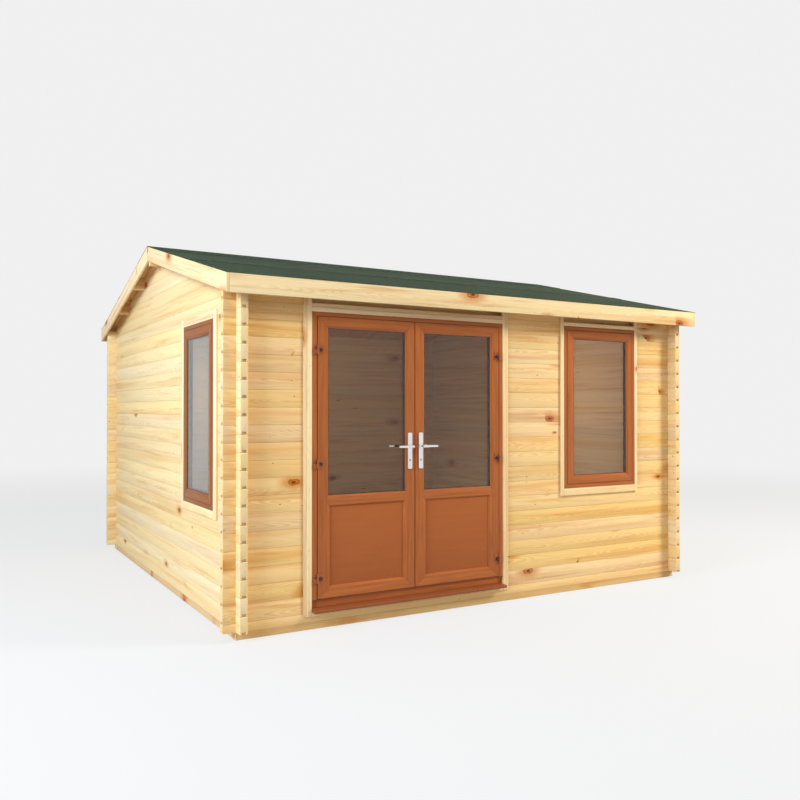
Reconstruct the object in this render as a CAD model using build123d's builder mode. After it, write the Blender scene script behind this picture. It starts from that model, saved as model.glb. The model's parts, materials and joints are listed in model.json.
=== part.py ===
from build123d import *
from math import cos, radians, tan
import os

# A log cabin with a double door in the front wall, a window beside it and one in the left wall.
# The origin is on the ground under the middle of the walls: +X is right along the front wall,
# -Y is out through the door and +Z is up. All sizes are in millimetres.

# Walls
wall_width = 3960.0  # over the outer faces of the left and right walls
wall_depth = 3900.0  # over the outer faces of the front and back walls
log_pitch = 114.0  # height that one log adds to a wall
log_thickness = 50.0
log_end = 86.0  # how far a log runs on past the wall that it crosses
side_courses = 19  # full logs under each gable
groove_width = 30.0
groove_depth = 18.0
tongue_width = 29.0
tongue_height = 16.0
drip_rise = 4.0  # the joint is this open at the faces, and closes towards the groove

# Base and floor
bearer_height = 50.0
bearer_width = 70.0
joist_width = 45.0
joist_count = 9
floor_thickness = 19.0
floor_margin = 5.0  # between the floor's edge and the logs

# Roof
roof_pitch = 13.9  # degrees
wall_plate_height = 48.0  # outer face of the bevelled log on the front and back walls
eaves_overhang = 160.0  # from a wall's outer face to the edge board's outer face
gable_overhang = 117.0  # from a side wall's outer face to the sloping board's outer face
deck_thickness = 19.0
fascia_thickness = 19.0
barge_thickness = 20.0
edge_board_height = 120.0
felt_thickness = 3.0
felt_strip = 1000.0
felt_lap = 100.0
ridge_strip_reach = 220.0
purlin_width = 50.0
purlin_height = 100.0
ridge_purlin_width = 60.0
ridge_purlin_height = 140.0
purlin_spacing = 640.0  # level distance from one roof beam to the next

# Openings, trims and the plastic frames in them
frame_face = 37.0  # what shows of a door jamb
frame_hidden = 8.0  # what the trim covers of a frame
fitting_gap = 8.0  # beside a frame, behind its trim
trim_thickness = 16.0
door_trim_width = 58.0
door_trim_rebate_width = 28.0  # the outer strip of each board, which is thinner
door_trim_rebate_depth = 6.0
trim_below_sill = 26.0
inside_trim_width = 60.0
inside_trim_lap = 20.0  # over the logs, above an opening
door_head_slot = 43.0  # open gap over the door's head trim, where the logs can settle

# Double door
door_middle = -674.0  # X of the middle of the doorway
door_clear_width = 1578.0  # between the side trims
door_bottom = 140.0
door_head_trim = 58.0  # height of the board over the door
door_head_face = 27.0
threshold_height = 55.0
sill_reach = 70.0  # in front of the frame
sill_height = 26.0
leaf_gap = 5.0
meeting_gap = 6.0
meeting_shift = 7.0  # the leaves meet this far right of the doorway's middle
leaf_depth = 40.0
leaf_proud = 4.0  # a leaf's outer face stands this far in front of its frame
meeting_bevel = 3.0  # degrees, so that one leaf's back corner passes the other
seal_gap = 5.0  # between a leaf's back and the stop behind it
stop_lap = 15.0
stile_width = 78.0
top_rail = 76.0
bottom_rail = 65.0
panel_height = 556.0
middle_rail = 65.0
glass_inset = 8.0  # from a leaf's or sash's outer face to the glass
glass_thickness = 24.0
glass_edge = 12.0  # how deep the glass sits in its groove
panel_thickness = 20.0
panel_bead_width = 24.0
panel_bead_edge = 5.0  # the flat edge of a bead, beside its slope
panel_bead_height = 6.0
glazing_gap = 0.2

# Hinges and handles
hinge_inset_low = 135.0  # from a leaf's underside to the middle of its lowest hinge
hinge_inset_high = 221.0  # from a leaf's top to the middle of its highest hinge
hinge_height = 64.0
hinge_out = 9.0  # from a leaf's outer face to the pin's axis
knuckle_radius = 8.0  # over the corners of the eight-sided barrel
pin_radius = 4.0
pin_clearance = 0.05
flag_thickness = 5.0
frame_flag_width = 26.0
leaf_flag_width = 38.0
handle_height = 1200.0
plate_top = 1297.0
plate_bottom = 1040.0
plate_width = 36.0
plate_thickness = 9.0
handle_setback = 42.0  # from a leaf's meeting edge to the handle's axis
spindle_radius = 5.0
spindle_hole_radius = 8.0
lever_length = 125.0
lever_reach = 46.0  # from the plate's face to the middle of the lever
lever_thickness = 13.0
lever_height = 18.0

# Windows
front_window_width = 780.0  # between the trims
front_window_height = 1305.0
left_window_width = 745.0
left_window_height = 1313.0
window_sill_trim = 56.0  # height of the board under a window
front_window_side_trim = 30.0
front_window_head_trim = 30.0
front_window_head_slot = 54.0
left_window_side_trim = 58.0
left_window_head_trim = 56.0  # it covers the gap over the window, where the logs can settle
left_window_head_gap = 26.0
window_frame_face = 33.0
sash_width = 70.0
sash_depth = 40.0
sash_proud = 4.0
front_window_middle = 1119.0  # X
left_window_middle = -1141.0  # Y

# Clearances between pieces that meet
seat_gap = 0.3
notch_side_gap = 0.4

# Values worked out from those above
half_width = wall_width / 2
half_depth = wall_depth / 2
half_pitch = log_pitch / 2
pitch_tan = tan(radians(roof_pitch))
deck_rise = deck_thickness / cos(radians(roof_pitch))
felt_rise = felt_thickness / cos(radians(roof_pitch))
eaves_y = half_depth + eaves_overhang
barge_x = half_width + gable_overhang
front_first = bearer_height + half_pitch  # the front and back walls start with half a log
front_courses = side_courses
wall_top = front_first + front_courses * log_pitch
door_top_opening = wall_top - half_pitch
eaves_height = wall_top + wall_plate_height - eaves_overhang * pitch_tan + deck_rise
door_head_top = door_top_opening - door_head_slot - door_head_trim
window_top = door_top_opening - front_window_head_slot - front_window_head_trim
window_bottom = window_top - front_window_height
inner_front_x = half_width - log_thickness
inner_side_y = half_depth - log_thickness
frame_proud = trim_thickness  # frames are flush with the trims round them
frame_depth = log_thickness + frame_proud
stop_depth = frame_depth + leaf_proud - leaf_depth - seal_gap
door_frame_width = door_clear_width + 2 * frame_hidden
door_opening_half = door_frame_width / 2 + fitting_gap
front_window_half = front_window_width / 2 + frame_hidden + fitting_gap
left_window_half = left_window_width / 2 + frame_hidden + fitting_gap
window_low_course = int((window_bottom - frame_hidden - front_first) // log_pitch)
side_window_bottom = window_bottom - half_pitch
side_window_top = side_window_bottom + left_window_height
side_opening_top = side_window_top + left_window_head_gap
meeting_x = door_middle + meeting_shift
mean_leaf_width = door_clear_width / 2 - frame_face - leaf_gap - meeting_gap / 2
leaf_bottom = door_bottom + threshold_height + leaf_gap
leaf_top = door_head_top - door_head_face - leaf_gap
low_hinge = leaf_bottom + hinge_inset_low
high_hinge = leaf_top - hinge_inset_high
hinge_heights = (low_hinge, (low_hinge + high_hinge) / 2, high_hinge)
glass_bottom = leaf_bottom + bottom_rail + panel_height + middle_rail

# Wall planes: X runs along the wall to the right, Y is up and Z points out of the cabin
front_plane = Plane(origin=(0, -half_depth, 0), x_dir=(1, 0, 0), z_dir=(0, -1, 0))
left_plane = Plane(origin=(-half_width, 0, 0), x_dir=(0, -1, 0), z_dir=(-1, 0, 0))


def roof_height(y, lift=0.0):
    """Height of the roof boards' underside at a distance y from the ridge, plus a lift."""
    return eaves_height - deck_rise + (eaves_y - abs(y)) * pitch_tan + lift


def outline(points):
    """Adds the closed outline through the points to the sketch that is open."""
    with BuildLine() as edge:
        Polyline(*points, close=True)
    make_face(edge.line)


def log_body(middle, low, high):
    """A log's section without its tongue: the groove and the sloping shoulders beside it."""
    half = log_thickness / 2
    groove = groove_width / 2
    outline(
        [
            (middle - half, low + drip_rise),
            (middle - groove, low + seat_gap),
            (middle - groove, low + groove_depth),
            (middle + groove, low + groove_depth),
            (middle + groove, low + seat_gap),
            (middle + half, low + drip_rise),
            (middle + half, high),
            (middle - half, high),
        ]
    )


def tongue(middle, high):
    """The tongue on top of a log, which fills the groove of the next one."""
    half = tongue_width / 2
    outline(
        [
            (middle - half, high - 1),
            (middle + half, high - 1),
            (middle + half, high + tongue_height),
            (middle - half, high + tongue_height),
        ]
    )


def stack_x(wall_y, start, end, lows):
    """Adds logs that run along X from start to end, with tongues between the side walls."""
    with BuildSketch(Plane.YZ.offset(start)) as section:
        for low in lows:
            log_body(wall_y, low, low + log_pitch)
    extrude(section.sketch, amount=end - start)
    tongue_start = max(start, -inner_front_x)
    tongue_end = min(end, inner_front_x)
    with BuildSketch(Plane.YZ.offset(tongue_start)) as section:
        for low in lows:
            tongue(wall_y, low + log_pitch)
    extrude(section.sketch, amount=tongue_end - tongue_start)


def stack_y(wall_x, start, end, lows):
    """Adds logs that run along Y from start to end, with tongues between front and back."""
    with BuildSketch(Plane.XZ.offset(-end)) as section:
        for low in lows:
            log_body(wall_x, low, low + log_pitch)
    extrude(section.sketch, amount=end - start)
    tongue_start = max(start, -inner_side_y)
    tongue_end = min(end, inner_side_y)
    with BuildSketch(Plane.XZ.offset(-tongue_end)) as section:
        for low in lows:
            tongue(wall_x, low + log_pitch)
    extrude(section.sketch, amount=tongue_end - tongue_start)


def notch(places):
    """Cuts the lower half out of logs at the corners, at (x, y, underside of the log)."""
    size = log_thickness + 2 * notch_side_gap
    height = half_pitch + seat_gap
    with Locations(*places):
        Box(
            size,
            size,
            height,
            align=(Align.CENTER, Align.CENTER, Align.MIN),
            mode=Mode.SUBTRACT,
        )


def front_lows(first, last):
    """Undersides of the front and back walls' full logs, from course first to last."""
    return [front_first + n * log_pitch for n in range(first, last + 1)]


def side_lows(first, last):
    """Undersides of the side walls' logs, from course first to last."""
    return [bearer_height + n * log_pitch for n in range(first, last + 1)]


front_y = -half_depth + log_thickness / 2
back_y = half_depth - log_thickness / 2
left_x = -half_width + log_thickness / 2
right_x = half_width - log_thickness / 2
long_x = half_width + log_end
long_y = half_depth + log_end
door_left = door_middle - door_opening_half
door_right = door_middle + door_opening_half
window_left = front_window_middle - front_window_half
window_right = front_window_middle + front_window_half
side_window_front = left_window_middle - left_window_half
side_window_back = left_window_middle + left_window_half


def half_log(wall_y):
    """The half log that starts the front and the back wall."""
    with BuildSketch(Plane.YZ.offset(-long_x)) as section:
        with Locations((wall_y, bearer_height + half_pitch / 2)):
            Rectangle(log_thickness, half_pitch)
    extrude(section.sketch, amount=2 * long_x)


def wall_plate(wall_y):
    """The bevelled log under the roof, between the side walls."""
    low = wall_top
    half = log_thickness / 2
    near = wall_y - half
    far = wall_y + half
    groove = groove_width / 2
    with BuildSketch(Plane.YZ.offset(-inner_front_x + seat_gap)) as section:
        outline(
            [
                (near, low + drip_rise),
                (wall_y - groove, low + seat_gap),
                (wall_y - groove, low + groove_depth),
                (wall_y + groove, low + groove_depth),
                (wall_y + groove, low + seat_gap),
                (far, low + drip_rise),
                (far, roof_height(far, -seat_gap)),
                (near, roof_height(near, -seat_gap)),
            ]
        )
    extrude(section.sketch, amount=2 * (inner_front_x - seat_gap))


# Base: four bearers under the walls and the joists between them
with BuildPart() as base_bearers:
    with BuildSketch():
        with Locations(
            (0, -half_depth + bearer_width / 2),
            (0, half_depth - bearer_width / 2),
        ):
            Rectangle(wall_width, bearer_width)
        with Locations(
            (-half_width + bearer_width / 2, 0),
            (half_width - bearer_width / 2, 0),
        ):
            Rectangle(bearer_width, wall_depth - 2 * bearer_width - 2 * seat_gap)
        with GridLocations((wall_width - bearer_width) / (joist_count + 1), 0, joist_count, 1):
            Rectangle(joist_width, wall_depth - 2 * bearer_width - 2 * seat_gap)
    extrude(amount=bearer_height)

with BuildPart() as floor_deck:
    with BuildSketch(Plane.XY.offset(bearer_height)):
        Rectangle(
            2 * (inner_front_x - floor_margin),
            2 * (inner_side_y - floor_margin),
        )
    extrude(amount=floor_thickness)

# Front wall, split beside, under and over the door and the window
with BuildPart() as front_wall_left:
    lows = front_lows(0, front_courses - 2)
    stack_x(front_y, -long_x, door_left, lows)
    notch([(left_x, front_y, low) for low in lows])

with BuildPart() as front_wall_lower:
    half_log(front_y)
    with BuildSketch(Plane.YZ.offset(-inner_front_x)):
        tongue(front_y, front_first)
    extrude(amount=2 * inner_front_x)
    with Locations((door_middle, front_y, front_first)):
        Box(
            2 * door_opening_half,
            log_thickness,
            log_pitch,
            align=(Align.CENTER, Align.CENTER, Align.MIN),
            mode=Mode.SUBTRACT,
        )
    lows = front_lows(0, window_low_course)
    stack_x(front_y, door_right, long_x, lows)
    notch([(right_x, front_y, low) for low in lows])
    with Locations((front_window_middle, front_y, window_bottom - frame_hidden - seat_gap)):
        Box(
            2 * front_window_half,
            log_thickness,
            log_pitch,
            align=(Align.CENTER, Align.CENTER, Align.MIN),
            mode=Mode.SUBTRACT,
        )

with BuildPart() as front_wall_beside_window:
    lows = front_lows(window_low_course + 1, front_courses - 2)
    stack_x(front_y, door_right, window_left, lows)
    stack_x(front_y, window_right, long_x, lows)
    notch([(right_x, front_y, low) for low in lows])

with BuildPart() as front_wall_head:
    lows = front_lows(front_courses - 1, front_courses - 1)
    stack_x(front_y, -long_x, long_x, lows)
    notch([(x, front_y, low) for x in (left_x, right_x) for low in lows])
    for middle, half in (
        (door_middle, door_opening_half),
        (front_window_middle, front_window_half),
    ):
        with Locations((middle, front_y, door_top_opening)):
            Box(
                2 * half,
                log_thickness,
                log_pitch,
                align=(Align.CENTER, Align.CENTER, Align.MAX),
                mode=Mode.SUBTRACT,
            )
    wall_plate(front_y)

with BuildPart() as back_wall:
    half_log(back_y)
    with BuildSketch(Plane.YZ.offset(-inner_front_x)):
        tongue(back_y, front_first)
    extrude(amount=2 * inner_front_x)
    lows = front_lows(0, front_courses - 1)
    stack_x(back_y, -long_x, long_x, lows)
    notch([(x, back_y, low) for x in (left_x, right_x) for low in lows])
    wall_plate(back_y)

# Side walls
with BuildPart() as left_wall_lower:
    lows = side_lows(0, window_low_course)
    stack_y(left_x, -long_y, long_y, lows)
    notch([(left_x, y, low) for y in (front_y, back_y) for low in lows])
    with Locations((left_x, left_window_middle, side_window_bottom - frame_hidden - seat_gap)):
        Box(
            log_thickness,
            2 * left_window_half,
            log_pitch,
            align=(Align.CENTER, Align.CENTER, Align.MIN),
            mode=Mode.SUBTRACT,
        )

with BuildPart() as left_wall_beside_window:
    lows = side_lows(window_low_course + 1, side_courses - 2)
    stack_y(left_x, -long_y, side_window_front, lows)
    stack_y(left_x, side_window_back, long_y, lows)
    notch([(left_x, y, low) for y in (front_y, back_y) for low in lows])

with BuildPart() as right_wall:
    lows = side_lows(0, side_courses - 1)
    stack_y(right_x, -long_y, long_y, lows)
    notch([(right_x, y, low) for y in (front_y, back_y) for low in lows])

gable_last = bearer_height + side_courses * log_pitch
gable_courses = int((roof_height(0) - gable_last) // log_pitch)


def gable(wall_x, first):
    """The logs of a side wall from course first up to the roof, with slots for the roof beams."""
    lows = side_lows(first, side_courses + gable_courses)
    stack_y(wall_x, -long_y, long_y, lows)
    crossing = side_lows(first, side_courses)
    notch([(wall_x, y, low) for y in (front_y, back_y) for low in crossing])
    with BuildSketch(Plane.YZ.offset(wall_x - log_thickness)) as section:
        outline(
            [
                (-long_y - 1, 0),
                (long_y + 1, 0),
                (long_y + 1, roof_height(long_y + 1, -seat_gap)),
                (0, roof_height(0, -seat_gap)),
                (-long_y - 1, roof_height(long_y + 1, -seat_gap)),
            ]
        )
    extrude(section.sketch, amount=2 * log_thickness, mode=Mode.INTERSECT)
    with BuildSketch(Plane.YZ.offset(wall_x - log_thickness)) as section:
        for y in (-2, -1, 1, 2):
            slot_low = roof_height(y * purlin_spacing) - purlin_height - seat_gap
            with Locations((y * purlin_spacing, slot_low + purlin_height)):
                Rectangle(purlin_width + 2 * seat_gap, 2 * purlin_height)
        with Locations((0, roof_height(0))):
            Rectangle(ridge_purlin_width + 2 * seat_gap, 2 * (ridge_purlin_height + seat_gap))
    extrude(section.sketch, amount=2 * log_thickness, mode=Mode.SUBTRACT)


with BuildPart() as left_gable:
    gable(left_x, side_courses - 1)
    with Locations((left_x, left_window_middle, side_opening_top)):
        Box(
            log_thickness,
            2 * left_window_half,
            log_pitch,
            align=(Align.CENTER, Align.CENTER, Align.MAX),
            mode=Mode.SUBTRACT,
        )

with BuildPart() as right_gable:
    gable(right_x, side_courses)

# Roof beams, boards, felt and edge boards
beam_half_length = barge_x - barge_thickness

with BuildPart() as roof_purlins:
    with BuildSketch(Plane.YZ.offset(-beam_half_length)):
        for step in (-2, -1, 1, 2):
            y = step * purlin_spacing
            near = y - purlin_width / 2
            far = y + purlin_width / 2
            low = roof_height(y) - purlin_height
            outline([(near, low), (far, low), (far, roof_height(far)), (near, roof_height(near))])
        half = ridge_purlin_width / 2
        low = roof_height(0) - ridge_purlin_height
        outline(
            [
                (-half, low),
                (half, low),
                (half, roof_height(half)),
                (0, roof_height(0)),
                (-half, roof_height(half)),
            ]
        )
    extrude(amount=2 * beam_half_length)


def roof_boards(side):
    """The boarding of one slope, as a deck from the ridge to the edge board."""
    edge = eaves_y - fascia_thickness
    near = seat_gap / 2
    with BuildSketch(Plane.YZ.offset(-beam_half_length)) as section:
        outline(
            [
                (side * near, roof_height(near)),
                (side * edge, roof_height(edge)),
                (side * edge, roof_height(edge, deck_rise)),
                (side * near, roof_height(near, deck_rise)),
            ]
        )
    extrude(section.sketch, amount=2 * beam_half_length)


with BuildPart() as front_roof_boards:
    roof_boards(-1)

with BuildPart() as back_roof_boards:
    roof_boards(1)


def felt(side):
    """Felt on one slope: each strip laps over the top edge of the strip below it."""
    near = seat_gap / 2
    one = deck_rise + felt_rise
    two = one + felt_rise
    cosine = cos(radians(roof_pitch))
    points = [(eaves_y, roof_height(eaves_y, deck_rise)), (eaves_y, roof_height(eaves_y, one))]
    edge = eaves_y - (felt_strip - felt_lap) * cosine
    while edge > ridge_strip_reach + 1.25 * felt_lap:
        top_edge = edge - felt_lap * cosine
        flat_again = top_edge - felt_lap / 4
        points.append((edge, roof_height(edge, one)))
        points.append((edge, roof_height(edge, two)))
        points.append((top_edge, roof_height(top_edge, two)))
        points.append((flat_again, roof_height(flat_again, one)))
        edge -= (felt_strip - felt_lap) * cosine
    points.append((near, roof_height(near, one)))
    points.append((near, roof_height(near, deck_rise)))
    with BuildSketch(Plane.YZ.offset(-barge_x)) as section:
        outline([(side * y, z) for y, z in points])
    extrude(section.sketch, amount=2 * barge_x)


with BuildPart() as front_felt:
    felt(-1)

with BuildPart() as back_felt:
    felt(1)

with BuildPart() as ridge_felt:
    low = deck_rise + felt_rise
    reach = ridge_strip_reach
    with BuildSketch(Plane.YZ.offset(-barge_x)):
        outline(
            [
                (-reach, roof_height(reach, low)),
                (0, roof_height(0, low)),
                (reach, roof_height(reach, low)),
                (reach, roof_height(reach, low + felt_rise)),
                (0, roof_height(0, low + felt_rise)),
                (-reach, roof_height(reach, low + felt_rise)),
            ]
        )
    extrude(amount=2 * barge_x)

with BuildPart() as fascia_boards:
    with BuildSketch(Plane.YZ.offset(-beam_half_length)):
        for side in (-1, 1):
            inner = eaves_y - fascia_thickness
            low = eaves_height - edge_board_height
            outline(
                [
                    (side * eaves_y, low),
                    (side * inner, low),
                    (side * inner, roof_height(inner, deck_rise)),
                    (side * eaves_y, eaves_height),
                ]
            )
    extrude(amount=2 * beam_half_length)


def barge_boards(outer_x):
    """The two sloping boards at one end of the roof, which meet in a plumb joint."""
    with BuildSketch(Plane.YZ.offset(outer_x)) as section:
        for side in (-1, 1):
            near = seat_gap
            outline(
                [
                    (side * near, roof_height(near, deck_rise)),
                    (side * eaves_y, roof_height(eaves_y, deck_rise)),
                    (side * eaves_y, roof_height(eaves_y, deck_rise) - edge_board_height),
                    (side * near, roof_height(near, deck_rise) - edge_board_height),
                ]
            )
    extrude(section.sketch, amount=barge_thickness)


with BuildPart() as left_barge_boards:
    barge_boards(-barge_x)

with BuildPart() as right_barge_boards:
    barge_boards(barge_x - barge_thickness)

# Door frame with its stop, threshold and sill


def slab(plane, middle, low, width, height, amount, mode=Mode.ADD):
    """A rectangle on a wall plane, by its middle and underside, extruded by an amount."""
    with BuildSketch(plane) as section:
        with Locations((middle, low + height / 2)):
            Rectangle(width, height)
    extrude(section.sketch, amount=amount, mode=mode)


door_frame_height = door_head_top + frame_hidden - door_bottom
rebate_width = door_clear_width - 2 * frame_face
rebate_low = door_bottom + threshold_height
rebate_height = door_head_top - door_head_face - rebate_low
stop_cover = leaf_gap + stop_lap

frame_front = front_plane.offset(frame_proud)

with BuildPart() as door_frame:
    slab(
        front_plane,
        door_middle,
        door_bottom,
        door_frame_width,
        door_frame_height,
        -log_thickness,
    )
    slab(
        front_plane,
        door_middle,
        rebate_low,
        door_clear_width - 2 * seat_gap,
        door_head_top - seat_gap - rebate_low,
        frame_proud,
    )
    slab(
        frame_front,
        door_middle,
        rebate_low,
        rebate_width,
        rebate_height,
        stop_depth - frame_depth,
        Mode.SUBTRACT,
    )
    slab(
        frame_front,
        door_middle,
        rebate_low + stop_cover,
        rebate_width - 2 * stop_cover,
        rebate_height - 2 * stop_cover,
        -frame_depth,
        Mode.SUBTRACT,
    )

sill_underside = door_bottom - sill_height

with BuildPart() as door_sill:
    back = -half_depth + log_thickness
    face = -half_depth
    nose = face - sill_reach
    with BuildSketch(Plane.YZ.offset(door_middle - door_clear_width / 2 + seat_gap)):
        outline(
            [
                (back, front_first + seat_gap),
                (face - seat_gap, front_first + seat_gap),
                (face - seat_gap, sill_underside),
                (nose + 6, sill_underside),
                (nose, sill_underside + 4),
                (nose, door_bottom - 9),
                (nose + 4, door_bottom - 5),
                (face, door_bottom),
                (back, door_bottom),
            ]
        )
    extrude(amount=door_clear_width - 2 * seat_gap)

# Timber trims round the door and the windows, outside and inside
board_thickness = trim_thickness - seat_gap


def outside_trim(plane, middle, width, board_width, low, sill_board, head_low, head_board, top):
    """Side boards up to top, with the boards under and over the opening between them."""
    face = plane.offset(seat_gap)
    for side in (-1, 1):
        place = middle + side * (width + board_width) / 2
        slab(face, place, low, board_width, top - low, board_thickness)
    between = width - 2 * seat_gap
    slab(face, middle, low, between, sill_board, board_thickness)
    slab(face, middle, head_low, between, head_board, board_thickness)


def window_trim(plane, middle, width, low, height, board_width, head_board, top):
    """Outside trim of a window."""
    trim_low = low - window_sill_trim
    head_low = low + height
    outside_trim(
        plane,
        middle,
        width,
        board_width,
        trim_low,
        window_sill_trim,
        head_low,
        head_board,
        top,
    )


def inside_boards(plane, middle, width, low, frame_top, opening_top, has_sill):
    """Inside trim: it covers the gaps between a frame and the logs."""
    face = plane.offset(-log_thickness - trim_thickness)
    for side in (-1, 1):
        place = middle + side * (width + inside_trim_width) / 2
        slab(
            face, place, low, inside_trim_width, opening_top + inside_trim_lap - low, board_thickness
        )
    between = width - 2 * seat_gap
    head_height = opening_top + inside_trim_lap - frame_top
    slab(face, middle, frame_top, between, head_height, board_thickness)
    if has_sill:
        slab(face, middle, low, between, inside_trim_width, board_thickness)


def window_frame(plane, middle, width, low, height):
    """The fixed outer frame of a window."""
    outer_width = width + 2 * frame_hidden
    outer_height = height + 2 * frame_hidden
    slab(plane, middle, low - frame_hidden, outer_width, outer_height, -log_thickness)
    face_width = width - 2 * seat_gap
    face_height = height - 2 * seat_gap
    slab(plane, middle, low + seat_gap, face_width, face_height, frame_proud)
    inner_width = width - 2 * window_frame_face
    inner_height = height - 2 * window_frame_face
    inner_low = low + window_frame_face
    face = plane.offset(frame_proud)
    slab(face, middle, inner_low, inner_width, inner_height, -frame_depth, Mode.SUBTRACT)


def window_sash(plane, middle, width, low, height):
    """The glazed sash inside the frame, with a groove that holds the glass."""
    face = plane.offset(frame_proud + sash_proud)
    outer_width = width - 2 * window_frame_face - 2 * seat_gap
    outer_height = height - 2 * window_frame_face - 2 * seat_gap
    sash_low = low + window_frame_face + seat_gap
    slab(face, middle, sash_low, outer_width, outer_height, -sash_depth)
    light_low = sash_low + sash_width
    light_width = outer_width - 2 * sash_width
    light_height = outer_height - 2 * sash_width
    slab(face, middle, light_low, light_width, light_height, -sash_depth, Mode.SUBTRACT)
    slab(
        face.offset(-glass_inset),
        middle,
        light_low - glass_edge,
        light_width + 2 * glass_edge,
        light_height + 2 * glass_edge,
        -glass_thickness,
        Mode.SUBTRACT,
    )


def window_glass(plane, middle, width, low, height):
    """The sealed glass unit in the sash's groove."""
    rim = window_frame_face + seat_gap + sash_width - glass_edge + glazing_gap
    slab(
        plane.offset(frame_proud + sash_proud - glass_inset - glazing_gap),
        middle,
        low + rim,
        width - 2 * rim,
        height - 2 * rim,
        2 * glazing_gap - glass_thickness,
    )


front_window = (
    front_plane,
    front_window_middle,
    front_window_width,
    window_bottom,
    front_window_height,
)
left_window = (
    left_plane,
    -left_window_middle,
    left_window_width,
    side_window_bottom,
    left_window_height,
)

with BuildPart() as door_trim:
    trim_low = sill_underside - trim_below_sill
    outside_trim(
        front_plane,
        door_middle,
        door_clear_width,
        door_trim_width,
        trim_low,
        trim_below_sill - seat_gap,
        door_head_top,
        door_head_trim,
        door_top_opening,
    )
    trim_face = front_plane.offset(trim_thickness)
    rebate_shift = (door_clear_width - door_trim_rebate_width) / 2 + door_trim_width
    for side in (-1, 1):
        slab(
            trim_face,
            door_middle + side * rebate_shift,
            trim_low,
            door_trim_rebate_width,
            door_top_opening - trim_low,
            -door_trim_rebate_depth,
            Mode.SUBTRACT,
        )
    slab(
        trim_face,
        door_middle,
        door_top_opening - door_head_slot - door_trim_rebate_width,
        door_clear_width - 2 * seat_gap,
        door_trim_rebate_width,
        -door_trim_rebate_depth,
        Mode.SUBTRACT,
    )

with BuildPart() as front_window_trim:
    window_trim(
        *front_window, front_window_side_trim, front_window_head_trim, door_top_opening
    )

with BuildPart() as front_window_frame:
    window_frame(*front_window)

with BuildPart() as front_window_sash:
    window_sash(*front_window)

with BuildPart() as front_window_glass:
    window_glass(*front_window)

with BuildPart() as left_window_trim:
    left_trim_top = side_window_top + left_window_head_trim
    window_trim(*left_window, left_window_side_trim, left_window_head_trim, left_trim_top)

with BuildPart() as left_window_frame:
    window_frame(*left_window)

with BuildPart() as left_window_sash:
    window_sash(*left_window)

with BuildPart() as left_window_glass:
    window_glass(*left_window)

with BuildPart() as inside_trim:
    floor_top = bearer_height + floor_thickness + seat_gap
    inside_boards(
        front_plane,
        door_middle,
        door_clear_width,
        floor_top,
        door_head_top,
        door_top_opening,
        False,
    )
    for (plane, middle, width, low, height), opening_top in (
        (front_window, door_top_opening),
        (left_window, side_opening_top),
    ):
        inside_boards(
            plane,
            middle,
            width,
            low - inside_trim_width,
            low + height,
            opening_top,
            True,
        )

# Door leaves, glass, panels, hinges and handles
leaf_face = frame_front.offset(leaf_proud)
leaf_height = leaf_top - leaf_bottom
leaf_front_y = -half_depth - frame_proud - leaf_proud
pin_y = leaf_front_y - hinge_out
light_height = leaf_top - top_rail - glass_bottom

def leaf_width(side):
    """Width of the left (-1) or right (1) leaf."""
    return mean_leaf_width - side * meeting_shift


def light_width(side):
    """Width of the glass and of the panel that show in a leaf."""
    return leaf_width(side) - 2 * stile_width


def leaf_middle(side):
    """X of the middle of the left (-1) or right (1) leaf."""
    return meeting_x + side * (meeting_gap + leaf_width(side)) / 2


def hinge_x(side):
    """X of the pins of the left (-1) or right (1) leaf."""
    return meeting_x + side * (meeting_gap / 2 + leaf_width(side) + leaf_gap / 2)


def handle_x(side):
    """X of the handle's axis on the left (-1) or right (1) leaf."""
    return meeting_x + side * (meeting_gap / 2 + handle_setback)


def leaf(side):
    """Stiles and rails of a leaf, with grooves for its glass and its panel."""
    meeting = meeting_x + side * meeting_gap / 2
    outer = meeting + side * leaf_width(side)
    bevel = leaf_depth * tan(radians(meeting_bevel))
    with BuildSketch(Plane.XY.offset(leaf_bottom)) as section:
        outline(
            [
                (outer, leaf_front_y),
                (meeting, leaf_front_y),
                (meeting + side * bevel, leaf_front_y + leaf_depth),
                (outer, leaf_front_y + leaf_depth),
            ]
        )
    extrude(section.sketch, amount=leaf_height)
    middle = leaf_middle(side)
    fields = (
        (leaf_bottom + bottom_rail, panel_height, panel_thickness),
        (glass_bottom, light_height, glass_thickness),
    )
    for low, height, thickness in fields:
        slab(leaf_face, middle, low, light_width(side), height, -leaf_depth, Mode.SUBTRACT)
        slab(
            leaf_face.offset(-glass_inset),
            middle,
            low - glass_edge,
            light_width(side) + 2 * glass_edge,
            height + 2 * glass_edge,
            -thickness,
            Mode.SUBTRACT,
        )
    with BuildSketch(leaf_face) as section:
        with Locations((handle_x(side), handle_height)):
            Circle(spindle_hole_radius)
    extrude(section.sketch, amount=-leaf_depth, mode=Mode.SUBTRACT)


def leaf_glass(side):
    """The sealed glass unit of a leaf."""
    rim = glass_edge - glazing_gap
    slab(
        leaf_face.offset(-glass_inset - glazing_gap),
        leaf_middle(side),
        glass_bottom - rim,
        light_width(side) + 2 * rim,
        light_height + 2 * rim,
        2 * glazing_gap - glass_thickness,
    )


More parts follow.
